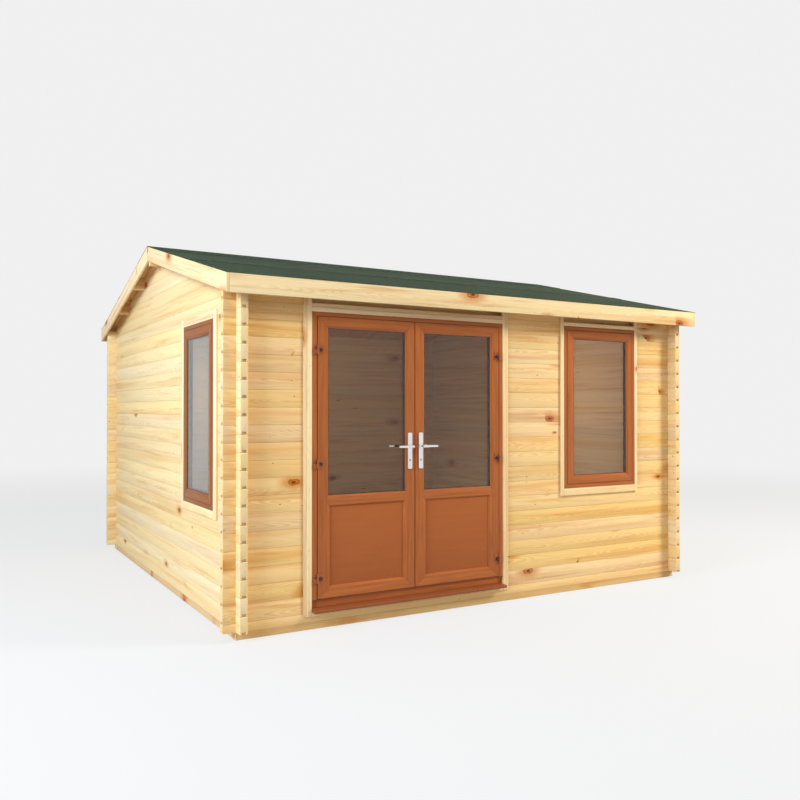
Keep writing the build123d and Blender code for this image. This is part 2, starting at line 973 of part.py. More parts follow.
def leaf_panel(side):
    """The lower panel of a leaf, with a sloping bead round it."""
    rim = glass_edge - glazing_gap
    middle = leaf_middle(side)
    low = leaf_bottom + bottom_rail
    face = leaf_face.offset(-glass_inset - glazing_gap)
    slab(
        face,
        middle,
        low - rim,
        light_width(side) + 2 * rim,
        panel_height + 2 * rim,
        2 * glazing_gap - panel_thickness,
    )
    width = light_width(side) - 2 * glazing_gap
    height = panel_height - 2 * glazing_gap
    slab(face, middle, low + glazing_gap, width, height, panel_bead_height)
    slopes = []
    for rise, border in ((0, panel_bead_width), (panel_bead_height, panel_bead_edge)):
        with BuildSketch(face.offset(rise)) as section:
            with Locations((middle, low + panel_height / 2)):
                Rectangle(width - 2 * border, height - 2 * border)
        slopes.append(section.sketch)
    loft(slopes, mode=Mode.SUBTRACT)


def frame_hinges(side):
    """Flags on the frame, with the lower knuckle and the pin of each hinge."""
    x = hinge_x(side)
    for height in hinge_heights:
        low = height - hinge_height / 2
        with BuildSketch(Plane.XY.offset(low)) as section:
            with Locations((x, pin_y)):
                RegularPolygon(knuckle_radius, 8)
        extrude(section.sketch, amount=hinge_height / 2 - seat_gap)
        with BuildSketch(Plane.XY.offset(low)) as section:
            with Locations((x, pin_y)):
                Circle(pin_radius)
        extrude(section.sketch, amount=hinge_height)
        flag_back = -half_depth - frame_proud
        flag_front = leaf_front_y - flag_thickness
        near = side * (leaf_gap / 2)
        far = side * (leaf_gap / 2 + frame_flag_width)
        with BuildSketch(Plane.XY.offset(low)) as section:
            outline(
                [
                    (x + near, flag_back),
                    (x + far, flag_back),
                    (x + far, flag_front),
                    (x + near, flag_front),
                ]
            )
        extrude(section.sketch, amount=hinge_height / 2 - seat_gap)


def leaf_hinges(side):
    """Flags on the leaf, with the upper knuckle of each hinge, bored for the pin."""
    x = hinge_x(side)
    for height in hinge_heights:
        low = height
        with BuildSketch(Plane.XY.offset(low)) as section:
            with Locations((x, pin_y)):
                RegularPolygon(knuckle_radius, 8)
            outline(
                [
                    (x - side * leaf_gap / 2, leaf_front_y),
                    (x - side * (leaf_gap / 2 + leaf_flag_width), leaf_front_y),
                    (x - side * (leaf_gap / 2 + leaf_flag_width), leaf_front_y - flag_thickness),
                    (x, leaf_front_y - flag_thickness),
                ]
            )
            with Locations((x, pin_y)):
                Circle(pin_radius + pin_clearance, mode=Mode.SUBTRACT)
        extrude(section.sketch, amount=hinge_height / 2)


def handle_plates(side):
    """The outer and inner back plates, bored for the spindle."""
    x = handle_x(side)
    height = plate_top - plate_bottom
    for start, amount in ((0, plate_thickness), (-leaf_depth, -plate_thickness)):
        with BuildSketch(leaf_face.offset(start)) as section:
            with Locations((x, (plate_top + plate_bottom) / 2)):
                Rectangle(plate_width, height)
            chamfer(section.vertices(), plate_width / 5)
            with Locations((x, handle_height)):
                Circle(spindle_radius + pin_clearance, mode=Mode.SUBTRACT)
        extrude(section.sketch, amount=amount)


def lever(side):
    """Spindle through the leaf, with a lever outside and one inside."""
    x = handle_x(side)
    outside = plate_thickness + lever_reach
    inside = -leaf_depth - plate_thickness - lever_reach
    with BuildSketch(leaf_face.offset(inside)) as section:
        with Locations((x, handle_height)):
            Circle(spindle_radius)
    extrude(section.sketch, amount=outside - inside)
    away = side * (lever_length - lever_height) / 2
    for middle in (outside, inside):
        with BuildSketch(leaf_face.offset(middle - lever_thickness / 2)) as section:
            with Locations((x + away, handle_height)):
                SlotOverall(lever_length, lever_height)
        extrude(section.sketch, amount=lever_thickness)


with BuildPart() as door_hinge_pins:
    frame_hinges(-1)
    frame_hinges(1)

with BuildPart() as left_door_leaf:
    leaf(-1)

with BuildPart() as left_door_glass:
    leaf_glass(-1)

with BuildPart() as left_door_panel:
    leaf_panel(-1)

with BuildPart() as left_door_hinges:
    leaf_hinges(-1)

with BuildPart() as left_handle_plates:
    handle_plates(-1)

with BuildPart() as left_lever:
    lever(-1)

with BuildPart() as right_door_leaf:
    leaf(1)

with BuildPart() as right_door_glass:
    leaf_glass(1)

with BuildPart() as right_door_panel:
    leaf_panel(1)

with BuildPart() as right_door_hinges:
    leaf_hinges(1)

with BuildPart() as right_handle_plates:
    handle_plates(1)

with BuildPart() as right_lever:
    lever(1)

# Each piece gets its name and is written to a file of that name
pieces = {
    "base_bearers": base_bearers,
    "floor_deck": floor_deck,
    "front_wall_left": front_wall_left,
    "front_wall_lower": front_wall_lower,
    "front_wall_beside_window": front_wall_beside_window,
    "front_wall_head": front_wall_head,
    "back_wall": back_wall,
    "left_wall_lower": left_wall_lower,
    "left_wall_beside_window": left_wall_beside_window,
    "left_gable": left_gable,
    "right_wall": right_wall,
    "right_gable": right_gable,
    "roof_purlins": roof_purlins,
    "front_roof_boards": front_roof_boards,
    "back_roof_boards": back_roof_boards,
    "front_felt": front_felt,
    "back_felt": back_felt,
    "ridge_felt": ridge_felt,
    "fascia_boards": fascia_boards,
    "left_barge_boards": left_barge_boards,
    "right_barge_boards": right_barge_boards,
    "door_frame": door_frame,
    "door_sill": door_sill,
    "door_trim": door_trim,
    "front_window_trim": front_window_trim,
    "front_window_frame": front_window_frame,
    "front_window_sash": front_window_sash,
    "front_window_glass": front_window_glass,
    "left_window_trim": left_window_trim,
    "left_window_frame": left_window_frame,
    "left_window_sash": left_window_sash,
    "left_window_glass": left_window_glass,
    "inside_trim": inside_trim,
    "door_hinge_pins": door_hinge_pins,
    "left_door_leaf": left_door_leaf,
    "left_door_glass": left_door_glass,
    "left_door_panel": left_door_panel,
    "left_door_hinges": left_door_hinges,
    "left_handle_plates": left_handle_plates,
    "left_lever": left_lever,
    "right_door_leaf": right_door_leaf,
    "right_door_glass": right_door_glass,
    "right_door_panel": right_door_panel,
    "right_door_hinges": right_door_hinges,
    "right_handle_plates": right_handle_plates,
    "right_lever": right_lever,
}
os.makedirs("parts", exist_ok=True)
for name, piece in pieces.items():
    piece.part.label = name
    export_step(piece.part, f"parts/{name}.step")
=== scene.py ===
"""A log cabin: its timber, felt, plastic, glass and metal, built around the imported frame.

Everything is in metres, in the frame's axes: +X is right along the front wall, -Y is out
through the door and +Z is up. Sizes and places are read from the frame's nodes.
"""

import json
import logging
import math
import random
from collections.abc import Callable, Iterable, Iterator
from contextlib import contextmanager
from dataclasses import dataclass, field
from enum import Enum

import bpy
import numpy as np
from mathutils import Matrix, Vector

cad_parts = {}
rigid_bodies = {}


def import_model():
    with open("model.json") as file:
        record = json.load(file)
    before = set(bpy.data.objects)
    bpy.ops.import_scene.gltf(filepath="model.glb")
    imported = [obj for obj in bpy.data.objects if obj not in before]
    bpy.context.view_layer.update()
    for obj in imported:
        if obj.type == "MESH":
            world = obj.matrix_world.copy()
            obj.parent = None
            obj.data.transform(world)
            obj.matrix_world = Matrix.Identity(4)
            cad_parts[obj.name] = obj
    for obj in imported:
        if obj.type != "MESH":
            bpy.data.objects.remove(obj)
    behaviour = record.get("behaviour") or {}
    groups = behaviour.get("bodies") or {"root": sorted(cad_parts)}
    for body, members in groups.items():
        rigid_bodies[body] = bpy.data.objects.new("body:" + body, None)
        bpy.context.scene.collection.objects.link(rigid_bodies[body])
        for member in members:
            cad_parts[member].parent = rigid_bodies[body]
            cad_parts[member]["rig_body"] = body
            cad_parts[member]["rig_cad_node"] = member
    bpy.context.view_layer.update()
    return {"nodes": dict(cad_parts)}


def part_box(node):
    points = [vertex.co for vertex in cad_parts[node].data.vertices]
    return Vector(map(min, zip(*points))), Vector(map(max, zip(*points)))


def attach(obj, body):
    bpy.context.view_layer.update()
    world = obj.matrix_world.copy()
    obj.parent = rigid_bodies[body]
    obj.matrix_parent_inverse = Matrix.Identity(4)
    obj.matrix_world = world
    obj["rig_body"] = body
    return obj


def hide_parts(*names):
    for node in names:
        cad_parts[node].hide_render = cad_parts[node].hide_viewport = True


log = logging.getLogger("cabin")

Piece = bpy.types.Object
Socket = bpy.types.NodeSocket
Triple = tuple[float, float, float]

CABIN = "cabin"
ROOF_SLOPE = math.radians(13.9)


class Side(Enum):
    """The left or the right leaf of the double door, by the sign of its place along X."""

    LEFT = -1
    RIGHT = 1

    @property
    def word(self) -> str:
        """The side's name, as the frame's nodes have it."""
        return self.name.lower()


class Slot(Enum):
    """Material slots of the record."""

    LOG = "log_timber"
    ROUGH = "rough_timber"
    TRIM = "trim_timber"
    EDGE = "edge_boards"
    ROOF = "roof_boards"
    FELT = "roof_felt"
    PLASTIC = "brown_plastic"
    PANEL = "door_panel"
    GLASS = "clear_glass"
    CHROME = "polished_metal"
    HINGE = "hinge_metal"


# ---------------------------------------------------------------------------------------
# Shader graphs and finishes
# ---------------------------------------------------------------------------------------


class Graph:
    """The node tree of a material or of the world, built node by node."""

    def __init__(self, tree: bpy.types.NodeTree) -> None:
        """Starts from an empty tree.

        Args:
            tree: The tree to fill.
        """
        self.tree = tree
        tree.nodes.clear()

    def add(self, kind: str, inputs: dict | None = None, **settings: object) -> bpy.types.Node:
        """Adds a node.

        Args:
            kind: Blender's name of the node, without ShaderNode.
            inputs: A number, colour or socket for each named or numbered input.
            settings: The node's own settings.

        Returns:
            The new node.
        """
        node = self.tree.nodes.new(f"ShaderNode{kind}")
        for name, value in settings.items():
            setattr(node, name, value)
        for key, value in (inputs or {}).items():
            if isinstance(value, Socket):
                self.tree.links.new(value, node.inputs[key])
            else:
                node.inputs[key].default_value = value
        return node

    def maths(self, operation: str, *values: float | Socket) -> Socket:
        """A Math node's result.

        Args:
            operation: The Math node's operation.
            values: Its inputs in order.

        Returns:
            The result.
        """
        return self.add("Math", dict(enumerate(values)), operation=operation).outputs[0]

    def scaled(self, value: Socket, factor: float | Socket) -> Socket:
        """A value times a number or another value."""
        return self.maths("MULTIPLY", value, factor)

    def swing(self, pattern: Socket, size: float) -> Socket:
        """A pattern between 0 and 1 as a value about 0, that is size wide."""
        return self.maths("MULTIPLY", self.maths("SUBTRACT", pattern, 0.5), size)

    def spread(self, value: Socket, low: float, high: float, to: tuple[float, float]) -> Socket:
        """A value eased from one range to another.

        Args:
            value: What is mapped.
            low: Where it starts.
            high: Where it ends.
            to: The results at low and at high.

        Returns:
            The mapped value, smooth at both ends.
        """
        inputs = {"Value": value, "From Min": low, "From Max": high}
        inputs |= {"To Min": to[0], "To Max": to[1]}
        node = self.add("MapRange", inputs, interpolation_type="SMOOTHSTEP")
        return node.outputs["Result"]

    def blend(
        self, share: float | Socket, first: Socket | Triple, second: Socket | Triple, how: str = "MIX"
    ) -> Socket:
        """A mix of two colours.

        Args:
            share: How much of the second colour there is.
            first: The first colour.
            second: The second colour.
            how: The blend type.

        Returns:
            The mixed colour.
        """
        node = self.add("Mix", data_type="RGBA", blend_type=how)
        for key, value in ((0, share), (6, first), (7, second)):
            if isinstance(value, Socket):
                self.tree.links.new(value, node.inputs[key])
            elif isinstance(value, tuple):
                node.inputs[key].default_value = (*value, 1.0)
            else:
                node.inputs[key].default_value = value
        return node.outputs[2]

    def stretched(self, place: Socket, scale: Triple, offset: Triple = (0, 0, 0)) -> Socket:
        """A place scaled and moved for a pattern.

        Args:
            place: The place.
            scale: How many times it is stretched on each axis.
            offset: What is added to it.

        Returns:
            The new place.
        """
        inputs = {"Vector": place, "Scale": scale, "Location": offset}
        return self.add("Mapping", inputs).outputs[0]

    def noise(self, place: Socket, scale: float, detail: float = 2.0, roughness: float = 0.5) -> Socket:
        """A soft random pattern between 0 and 1.

        Args:
            place: Where it is read.
            scale: How fine it is.
            detail: How many finer layers it has.
            roughness: How strong those are.

        Returns:
            The pattern's value.
        """
        inputs = {"Vector": place, "Scale": scale, "Detail": detail, "Roughness": roughness}
        return self.add("TexNoise", inputs).outputs[0]

    def attribute(self, name: str, output: str) -> Socket:
        """A mesh attribute.

        Args:
            name: The attribute's name.
            output: Which of the node's outputs is used.

        Returns:
            The attribute's value.
        """
        return self.add("Attribute", attribute_name=name).outputs[output]

    def bump(self, height: Socket, distance: float, strength: float = 1.0) -> Socket:
        """A surface's normal, raised by a pattern.

        Args:
            height: The pattern.
            distance: How many metres a height of 1 stands for.
            strength: How much of it is used.

        Returns:
            The normal.
        """
        inputs = {"Height": height, "Distance": distance, "Strength": strength}
        return self.add("Bump", inputs).outputs[0]


def linear(red: int, green: int, blue: int) -> Triple:
    """A display colour as the linear colour that shaders take.

    Args:
        red: Red from 0 to 255.
        green: Green from 0 to 255.
        blue: Blue from 0 to 255.

    Returns:
        The linear colour.
    """

    def one(value: int) -> float:
        """One of the three parts."""
        share = value / 255
        return share / 12.92 if share <= 0.04045 else ((share + 0.055) / 1.055) ** 2.4

    return one(red), one(green), one(blue)


@dataclass(frozen=True)
class Finish:
    """What a surface is made of.

    Attributes:
        name: The finish in plain words.
        slot: The record's slot that it belongs to; not used by this script.
    """

    name: str
    slot: Slot

    def material(self) -> bpy.types.Material:
        """The finish as a material, made the first time that it is asked for."""
        found = bpy.data.materials.get(self.name)
        if found is not None:
            return found
        made = bpy.data.materials.new(self.name)
        made.use_nodes = True
        graph = Graph(made.node_tree)
        surface = self.surface(graph)
        graph.add("OutputMaterial", {"Surface": surface})
        return made

    def surface(self, graph: Graph) -> Socket:
        """Builds the surface's shader; each kind of finish has its own."""
        raise NotImplementedError


@dataclass(frozen=True)
class Softwood(Finish):
    """Planed spruce with growth rings, knots, streaks and end grain.

    The pattern is read from each board's own place: the grain attribute runs along the
    board, then over its width and its thickness. The tone attribute is the board's shade
    and the end attribute is 1 where the grain is cut across.

    Attributes:
        pale: Colour of the early wood.
        deep: Colour of the late wood.
        streak: Colour of resin streaks and of the wood round a knot.
        knots: Share of the places for a knot that have one.
        ring: Distance from one growth ring to the next.
        contrast: How strong the rings are.
    """

    pale: Triple = linear(245, 210, 150)
    deep: Triple = linear(222, 170, 100)
    streak: Triple = linear(208, 136, 64)
    knots: float = 0.1
    ring: float = 0.0065
    contrast: float = 0.55

    KNOT_LENGTH = 0.36
    KNOT_WIDTH = 0.12
    KNOT_RADIUS = 0.029
    KNOT_STRETCH = 2.1
    PITH_DEPTH = 0.045

    def surface(self, graph: Graph) -> Socket:
        """Rings bent round the knots, streaks, a shade for each board, and end grain."""
        place = graph.attribute("grain", "Vector")
        distance, radius = self._knot(graph, place)
        near = graph.maths("DIVIDE", distance, graph.maths("MAXIMUM", radius, 0.0005))
        halo = graph.spread(near, 1.0, 3.2, (1.0, 0.0))
        inside = graph.spread(near, 0.86, 1.06, (1.0, 0.0))
        from_pith = self._from_pith(graph, place)
        pushed = graph.scaled(halo, graph.scaled(radius, 0.9))
        late = self._late_wood(graph, place, from_pith, pushed)
        colour = graph.blend(graph.scaled(late, self.contrast), self.pale, self.deep)
        colour = self._streaked(graph, place, colour)
        fibres = graph.noise(graph.stretched(place, (14.0, 420.0, 420.0)), 1.0, 2.0, 0.6)
        grey = graph.add("CombineXYZ", {0: fibres, 1: fibres, 2: fibres}).outputs[0]
        colour = graph.blend(0.14, colour, grey, "OVERLAY")
        colour = graph.blend(graph.scaled(halo, 0.75), colour, self.streak)
        colour = graph.blend(inside, colour, self._knot_colour(graph, near, place))
        end = graph.attribute("end", "Fac")
        colour = graph.blend(end, colour, self._end_grain(graph, place, from_pith))
        shade = graph.add("HueSaturation", {"Color": colour})
        self._link_tone(graph, shade, graph.attribute("tone", "Fac"))

        height = graph.maths("ADD", late, graph.scaled(fibres, 0.5))
        height = graph.maths("SUBTRACT", height, graph.scaled(inside, 0.8))
        rough = graph.maths("ADD", 0.5, graph.scaled(fibres, 0.18))
        inputs = {
            "Base Color": shade.outputs[0],
            "Roughness": rough,
            "Specular IOR Level": 0.2,
            "Normal": graph.bump(height, 0.00035, 0.7),
        }
        return graph.add("BsdfPrincipled", inputs).outputs[0]

    def _from_pith(self, graph: Graph, place: Socket) -> Socket:
        """The distance from the middle of the tree, which is behind the board's face."""
        parts = graph.add("SeparateXYZ", {0: place}).outputs
        across = graph.scaled(parts[1], parts[1])
        through = graph.maths("ADD", parts[2], self.PITH_DEPTH)
        through = graph.scaled(through, through)
        return graph.maths("SQRT", graph.maths("ADD", across, through))

    def _late_wood(self, graph: Graph, place: Socket, from_pith: Socket, pushed: Socket) -> Socket:
        """Growth rings that wander along the board and fade here and there.

        Args:
            graph: The material's graph.
            place: The place in the board.
            from_pith: The distance from the middle of the tree.
            pushed: How far a knot pushes the rings aside.

        Returns:
            The share of late wood.
        """
        bend = graph.noise(graph.stretched(place, (0.9, 5.0, 5.0)), 1.0, 2.0)
        fine_bend = graph.noise(graph.stretched(place, (5.0, 30.0, 30.0)), 1.0, 2.0)
        rings = graph.maths("ADD", from_pith, graph.swing(bend, 0.16))
        rings = graph.maths("ADD", rings, graph.maths("ADD", graph.swing(fine_bend, 0.008), pushed))
        phase = graph.maths("FRACT", graph.maths("DIVIDE", rings, self.ring))
        late = graph.spread(phase, 0.35, 0.93, (0.0, 1.0))
        faded = graph.noise(graph.stretched(place, (0.7, 9.0, 9.0), (3.0, 1.0, 7.0)), 1.0, 1.0)
        return graph.scaled(late, graph.spread(faded, 0.3, 0.7, (0.25, 1.0)))

    def _streaked(self, graph: Graph, place: Socket, colour: Socket) -> Socket:
        """A colour with long resin streaks, and with deeper and paler bands.

        Args:
            graph: The material's graph.
            place: The place in the board.
            colour: The colour of the wood between them.

        Returns:
            The colour.
        """
        drawn = graph.stretched(place, (1.1, 26.0, 26.0), (9.0, 4.0, 2.0))
        drawn = graph.noise(drawn, 1.0, 3.0, 0.6)
        colour = graph.blend(graph.spread(drawn, 0.52, 0.78, (0.0, 0.62)), colour, self.streak)
        banded = graph.stretched(place, (0.45, 15.0, 15.0), (2.0, 8.0, 5.0))
        banded = graph.noise(banded, 1.0, 2.0, 0.6)
        colour = graph.blend(graph.spread(banded, 0.45, 0.75, (0.0, 0.42)), colour, self.streak)
        return graph.blend(graph.spread(banded, 0.42, 0.25, (0.0, 0.5)), colour, self.pale)

    def _link_tone(self, graph: Graph, shade: bpy.types.Node, tone: Socket) -> None:
        """Makes each board a little lighter, darker, redder or paler than its neighbours.

        Args:
            graph: The material's graph.
            shade: The Hue/Saturation node that is driven.
            tone: The board's own number from 0 to 1.
        """
        second = graph.maths("FRACT", graph.scaled(tone, 7.31))
        third = graph.maths("FRACT", graph.scaled(tone, 3.77))
        for name, source, low, high in (
            ("Hue", second, 0.497, 0.502),
            ("Saturation", third, 0.92, 1.1),
            ("Value", tone, 0.95, 1.03),
        ):
            span = graph.scaled(source, high - low)
            graph.tree.links.new(graph.maths("ADD", span, low), shade.inputs[name])

    def _knot(self, graph: Graph, place: Socket) -> tuple[Socket, Socket]:
        """The nearest knot.

        Args:
            graph: The material's graph.
            place: The place in the board.

        Returns:
            The distance to its middle and its radius, both in metres.
        """
        flat = graph.add("VectorMath", {0: place, 1: (1.0, 1.0, 0.0)}, operation="MULTIPLY")
        scale = (1 / self.KNOT_LENGTH, 1 / self.KNOT_WIDTH, 1.0)
        scaled = graph.stretched(flat.outputs[0], scale)
        cells = graph.add("TexVoronoi", {"Vector": scaled, "Scale": 1.0, "Randomness": 0.8})
        inputs = {0: scaled, 1: cells.outputs["Position"]}
        away = graph.add("VectorMath", inputs, operation="SUBTRACT")
        size = (self.KNOT_LENGTH / self.KNOT_STRETCH, self.KNOT_WIDTH, 0.0)
        away = graph.add("VectorMath", {0: away.outputs[0], 1: size}, operation="MULTIPLY")
        distance = graph.add("VectorMath", {0: away.outputs[0]}, operation="LENGTH").outputs["Value"]
        ragged = graph.noise(graph.stretched(place, (40.0, 60.0, 60.0)), 1.0, 2.0)
        ragged = graph.swing(ragged, 0.018)
        chance = graph.add("SeparateColor", {0: cells.outputs["Color"]}).outputs[0]
        radius = graph.maths("DIVIDE", graph.maths("SUBTRACT", chance, 1 - self.knots), self.knots)
        radius = graph.maths("SQRT", graph.maths("MAXIMUM", radius, 0.0))
        radius = graph.scaled(radius, self.KNOT_RADIUS)
        return graph.maths("ADD", distance, ragged), radius

    def _knot_colour(self, graph: Graph, near: Socket, place: Socket) -> Socket:
        """The colour inside a knot: fine rings, darker at the rim and at the heart.

        Args:
            graph: The material's graph.
            near: The distance to the knot's middle, in knot radii.
            place: The place in the board.

        Returns:
            The colour.
        """
        rings = graph.maths("SINE", graph.scaled(near, 19.0))
        mottled = graph.noise(place, 260.0, 3.0)
        share = graph.maths("ADD", graph.scaled(rings, 0.18), mottled)
        light = linear(208, 130, 60)
        dark = linear(160, 86, 36)
        colour = graph.blend(graph.spread(share, 0.3, 0.8, (0.0, 1.0)), light, dark)
        rim = graph.spread(near, 0.74, 0.95, (0.0, 0.75))
        colour = graph.blend(rim, colour, linear(126, 66, 28))
        heart = graph.spread(near, 0.18, 0.55, (0.85, 0.0))
        return graph.blend(heart, colour, linear(84, 40, 18))

    def _end_grain(self, graph: Graph, place: Socket, from_pith: Socket) -> Socket:
        """The colour where the grain is cut across: close rings and fine saw lines.

        Args:
            graph: The material's graph.
            place: The place in the board.
            from_pith: The distance from the middle of the tree.

        Returns:
            The colour.
        """
        uneven = graph.noise(place, 60.0, 2.0)
        rings = graph.maths("ADD", from_pith, graph.scaled(uneven, 0.004))
        wave = graph.maths("SINE", graph.scaled(rings, 2 * math.pi / (self.ring * 0.7)))
        speck = graph.noise(place, 900.0, 2.0)
        share = graph.maths("ADD", graph.scaled(wave, 0.22), speck)
        share = graph.spread(share, 0.2, 0.85, (0.0, 1.0))
        return graph.blend(share, linear(246, 222, 170), linear(222, 180, 122))


@dataclass(frozen=True)
class Felt(Finish):
    """Roofing felt with mineral grains, scuffed and a little uneven in shade.

    Attributes:
        dark: Colour between the grains.
        light: Colour of the palest grains.
    """

    dark: Triple = linear(28, 38, 27)
    light: Triple = linear(62, 76, 57)

    def surface(self, graph: Graph) -> Socket:
        """Grains of two sizes over a slow change of shade."""
        place = graph.add("TexCoord").outputs["Object"]
        grains = graph.add("TexVoronoi", {"Vector": place, "Scale": 520.0})
        shade = graph.add("SeparateColor", {0: grains.outputs["Color"]}).outputs[0]
        patches = graph.noise(place, 2.2, 4.0, 0.6)
        worn = graph.noise(graph.stretched(place, (1.1, 12.0, 12.0)), 1.0, 3.0)
        share = graph.maths("ADD", graph.scaled(shade, 0.5), graph.scaled(patches, 0.38))
        share = graph.maths("ADD", share, graph.scaled(worn, 0.3))
        colour = graph.blend(graph.spread(share, 0.2, 0.95, (0.0, 1.0)), self.dark, self.light)
        speck = graph.spread(shade, 0.965, 0.985, (0.0, 0.6))
        colour = graph.blend(speck, colour, linear(150, 160, 140))
        height = graph.maths("SUBTRACT", 1.0, grains.outputs["Distance"])
        inputs = {
            "Base Color": colour,
            "Roughness": 0.92,
            "Specular IOR Level": 0.2,
            "Normal": graph.bump(height, 0.0009, 0.6),
        }
        return graph.add("BsdfPrincipled", inputs).outputs[0]


@dataclass(frozen=True)
class Foil(Finish):
    """Wood-grained foil on a plastic section: fine pores along each member.

    Attributes:
        base: The foil's main colour.
        pore: The colour of its printed pores.
        figure: How strong its long soft figure is.
        gloss: The foil's roughness.
    """

    base: Triple = linear(178, 101, 51)
    pore: Triple = linear(124, 64, 31)
    figure: float = 0.36
    gloss: float = 0.42

    def surface(self, graph: Graph) -> Socket:
        """Long soft figure with short fine pores that are pressed in."""
        place = graph.attribute("grain", "Vector")
        tone = graph.attribute("tone", "Fac")
        figure = graph.noise(graph.stretched(place, (3.0, 46.0, 46.0)), 1.0, 3.0, 0.6)
        pores = graph.noise(graph.stretched(place, (38.0, 900.0, 900.0)), 1.0, 2.0, 0.6)
        share = graph.spread(figure, 0.35, 0.72, (0.0, self.figure))
        colour = graph.blend(share, self.base, self.pore)
        dots = graph.spread(pores, 0.58, 0.72, (0.0, 0.5))
        colour = graph.blend(dots, colour, self.pore)
        warm = graph.add("HueSaturation", {"Color": colour})
        value = graph.maths("ADD", graph.scaled(tone, 0.1), 0.95)
        graph.tree.links.new(value, warm.inputs["Value"])
        rough = graph.maths("ADD", self.gloss, graph.scaled(pores, 0.12))
        inputs = {
            "Base Color": warm.outputs[0],
            "Roughness": rough,
            "Specular IOR Level": 0.25,
            "Normal": graph.bump(graph.maths("SUBTRACT", 1.0, pores), 0.00012, 0.6),
        }
        return graph.add("BsdfPrincipled", inputs).outputs[0]


@dataclass(frozen=True)
class Glass(Finish):
    """Clear glass that lets lamps shine into the room.

    Attributes:
        tint: The glass's colour.
    """

    tint: Triple = (0.93, 0.95, 0.94)

    def surface(self, graph: Graph) -> Socket:
        """Bends and mirrors light for what looks through it, and passes the lamps' light."""
        pane = graph.add(
            "BsdfPrincipled",
            {
                "Base Color": (*self.tint, 1.0),
                "Roughness": 0.0,
                "IOR": 1.28,
                "Transmission Weight": 1.0,
            },
        )
        clear = graph.add("BsdfTransparent", {"Color": (*self.tint, 1.0)})
        rays = graph.add("LightPath").outputs
        passing = graph.maths("MAXIMUM", rays["Is Shadow Ray"], rays["Is Diffuse Ray"])
        mixed = graph.add("MixShader", {0: passing, 1: pane.outputs[0], 2: clear.outputs[0]})
        return mixed.outputs[0]


@dataclass(frozen=True)
class Metal(Finish):
    """Plated or painted metal with faint scratches and finger marks.

    Attributes:
        colour: The metal's or the paint's colour.
        metallic: 1 for bare or plated metal and 0 for paint.
        roughness: How blurred its reflections are.
    """

    colour: Triple = (0.86, 0.86, 0.87)
    metallic: float = 1.0
    roughness: float = 0.12

    def surface(self, graph: Graph) -> Socket:
        """A smooth metal with smudges in its roughness and hairlines in its surface."""
        place = graph.add("TexCoord").outputs["Object"]
        smudge = graph.noise(place, 24.0, 3.0)
        hair = graph.noise(graph.stretched(place, (60.0, 60.0, 1400.0)), 1.0, 2.0)
        rough = graph.maths("ADD", self.roughness, graph.scaled(smudge, 0.12))
        darker = tuple(0.8 * part for part in self.colour)
        colour = graph.blend(graph.spread(smudge, 0.3, 0.8, (0.0, 0.35)), self.colour, darker)
        inputs = {
            "Base Color": colour,
            "Metallic": self.metallic,
            "Roughness": rough,
            "Normal": graph.bump(hair, 0.00003, 0.4),
        }
        return graph.add("BsdfPrincipled", inputs).outputs[0]


@dataclass(frozen=True)
class Rubber(Finish):
    """Black seals, with dust in their pores."""

    def surface(self, graph: Graph) -> Socket:
        """Matt black with a fine bloom."""
        place = graph.add("TexCoord").outputs["Object"]
        dust = graph.noise(place, 320.0, 3.0)
        share = graph.spread(dust, 0.4, 0.8, (0.0, 0.5))
        colour = graph.blend(share, (0.02, 0.018, 0.016), (0.06, 0.05, 0.045))
        inputs = {
            "Base Color": colour,
            "Roughness": 0.7,
            "Normal": graph.bump(dust, 0.0001, 0.5),
        }
        return graph.add("BsdfPrincipled", inputs).outputs[0]


LOG = Softwood("spruce logs", Slot.LOG)
# Paler copy of the spruce logs for the back and side walls: its paler colours are painted light, as if
# those walls stood in brighter light; it also has fewer knots.
LIT_SIDE_LOG = Softwood(
    "pale spruce logs",
    Slot.LOG,
    pale=linear(243, 217, 163),
    deep=linear(228, 186, 124),
    streak=linear(217, 164, 98),
    knots=0.035,
)
ROUGH = Softwood(
    "sawn bearers",
    Slot.ROUGH,
    pale=linear(226, 192, 136),
    deep=linear(196, 150, 92),
    contrast=0.7,
    knots=0.35,
)
FLOOR = Softwood("floor boards", Slot.ROUGH, pale=linear(232, 196, 138), deep=linear(204, 156, 96))
TRIM = Softwood(
    "planed trim boards",
    Slot.TRIM,
    pale=linear(250, 224, 172),
    deep=linear(236, 196, 134),
    knots=0.12,
    contrast=0.4,
)
EDGE = Softwood(
    "planed edge boards",
    Slot.EDGE,
    pale=linear(244, 218, 166),
    deep=linear(228, 186, 124),
    knots=0.16,
    contrast=0.45,
)
ROOF = Softwood(
    "roof boards",
    Slot.ROOF,
    pale=linear(228, 186, 122),
    deep=linear(198, 142, 80),
    contrast=0.6,
)
FELT = Felt("mineral felt", Slot.FELT)
FOIL = Foil("brown foil", Slot.PLASTIC)
PANEL_FOIL = Foil(
    "brown panel foil",
    Slot.PANEL,
    base=linear(170, 94, 47),
    pore=linear(130, 68, 32),
    figure=0.1,
    gloss=0.5,
)
# Darker copy of the brown foil for the side window: the darker colours are painted shade, not the
# foil's own colour.
PAINTED_SHADE_FOIL = Foil(
    "dark brown foil", Slot.PLASTIC, base=linear(147, 87, 42), pore=linear(100, 54, 26)
)
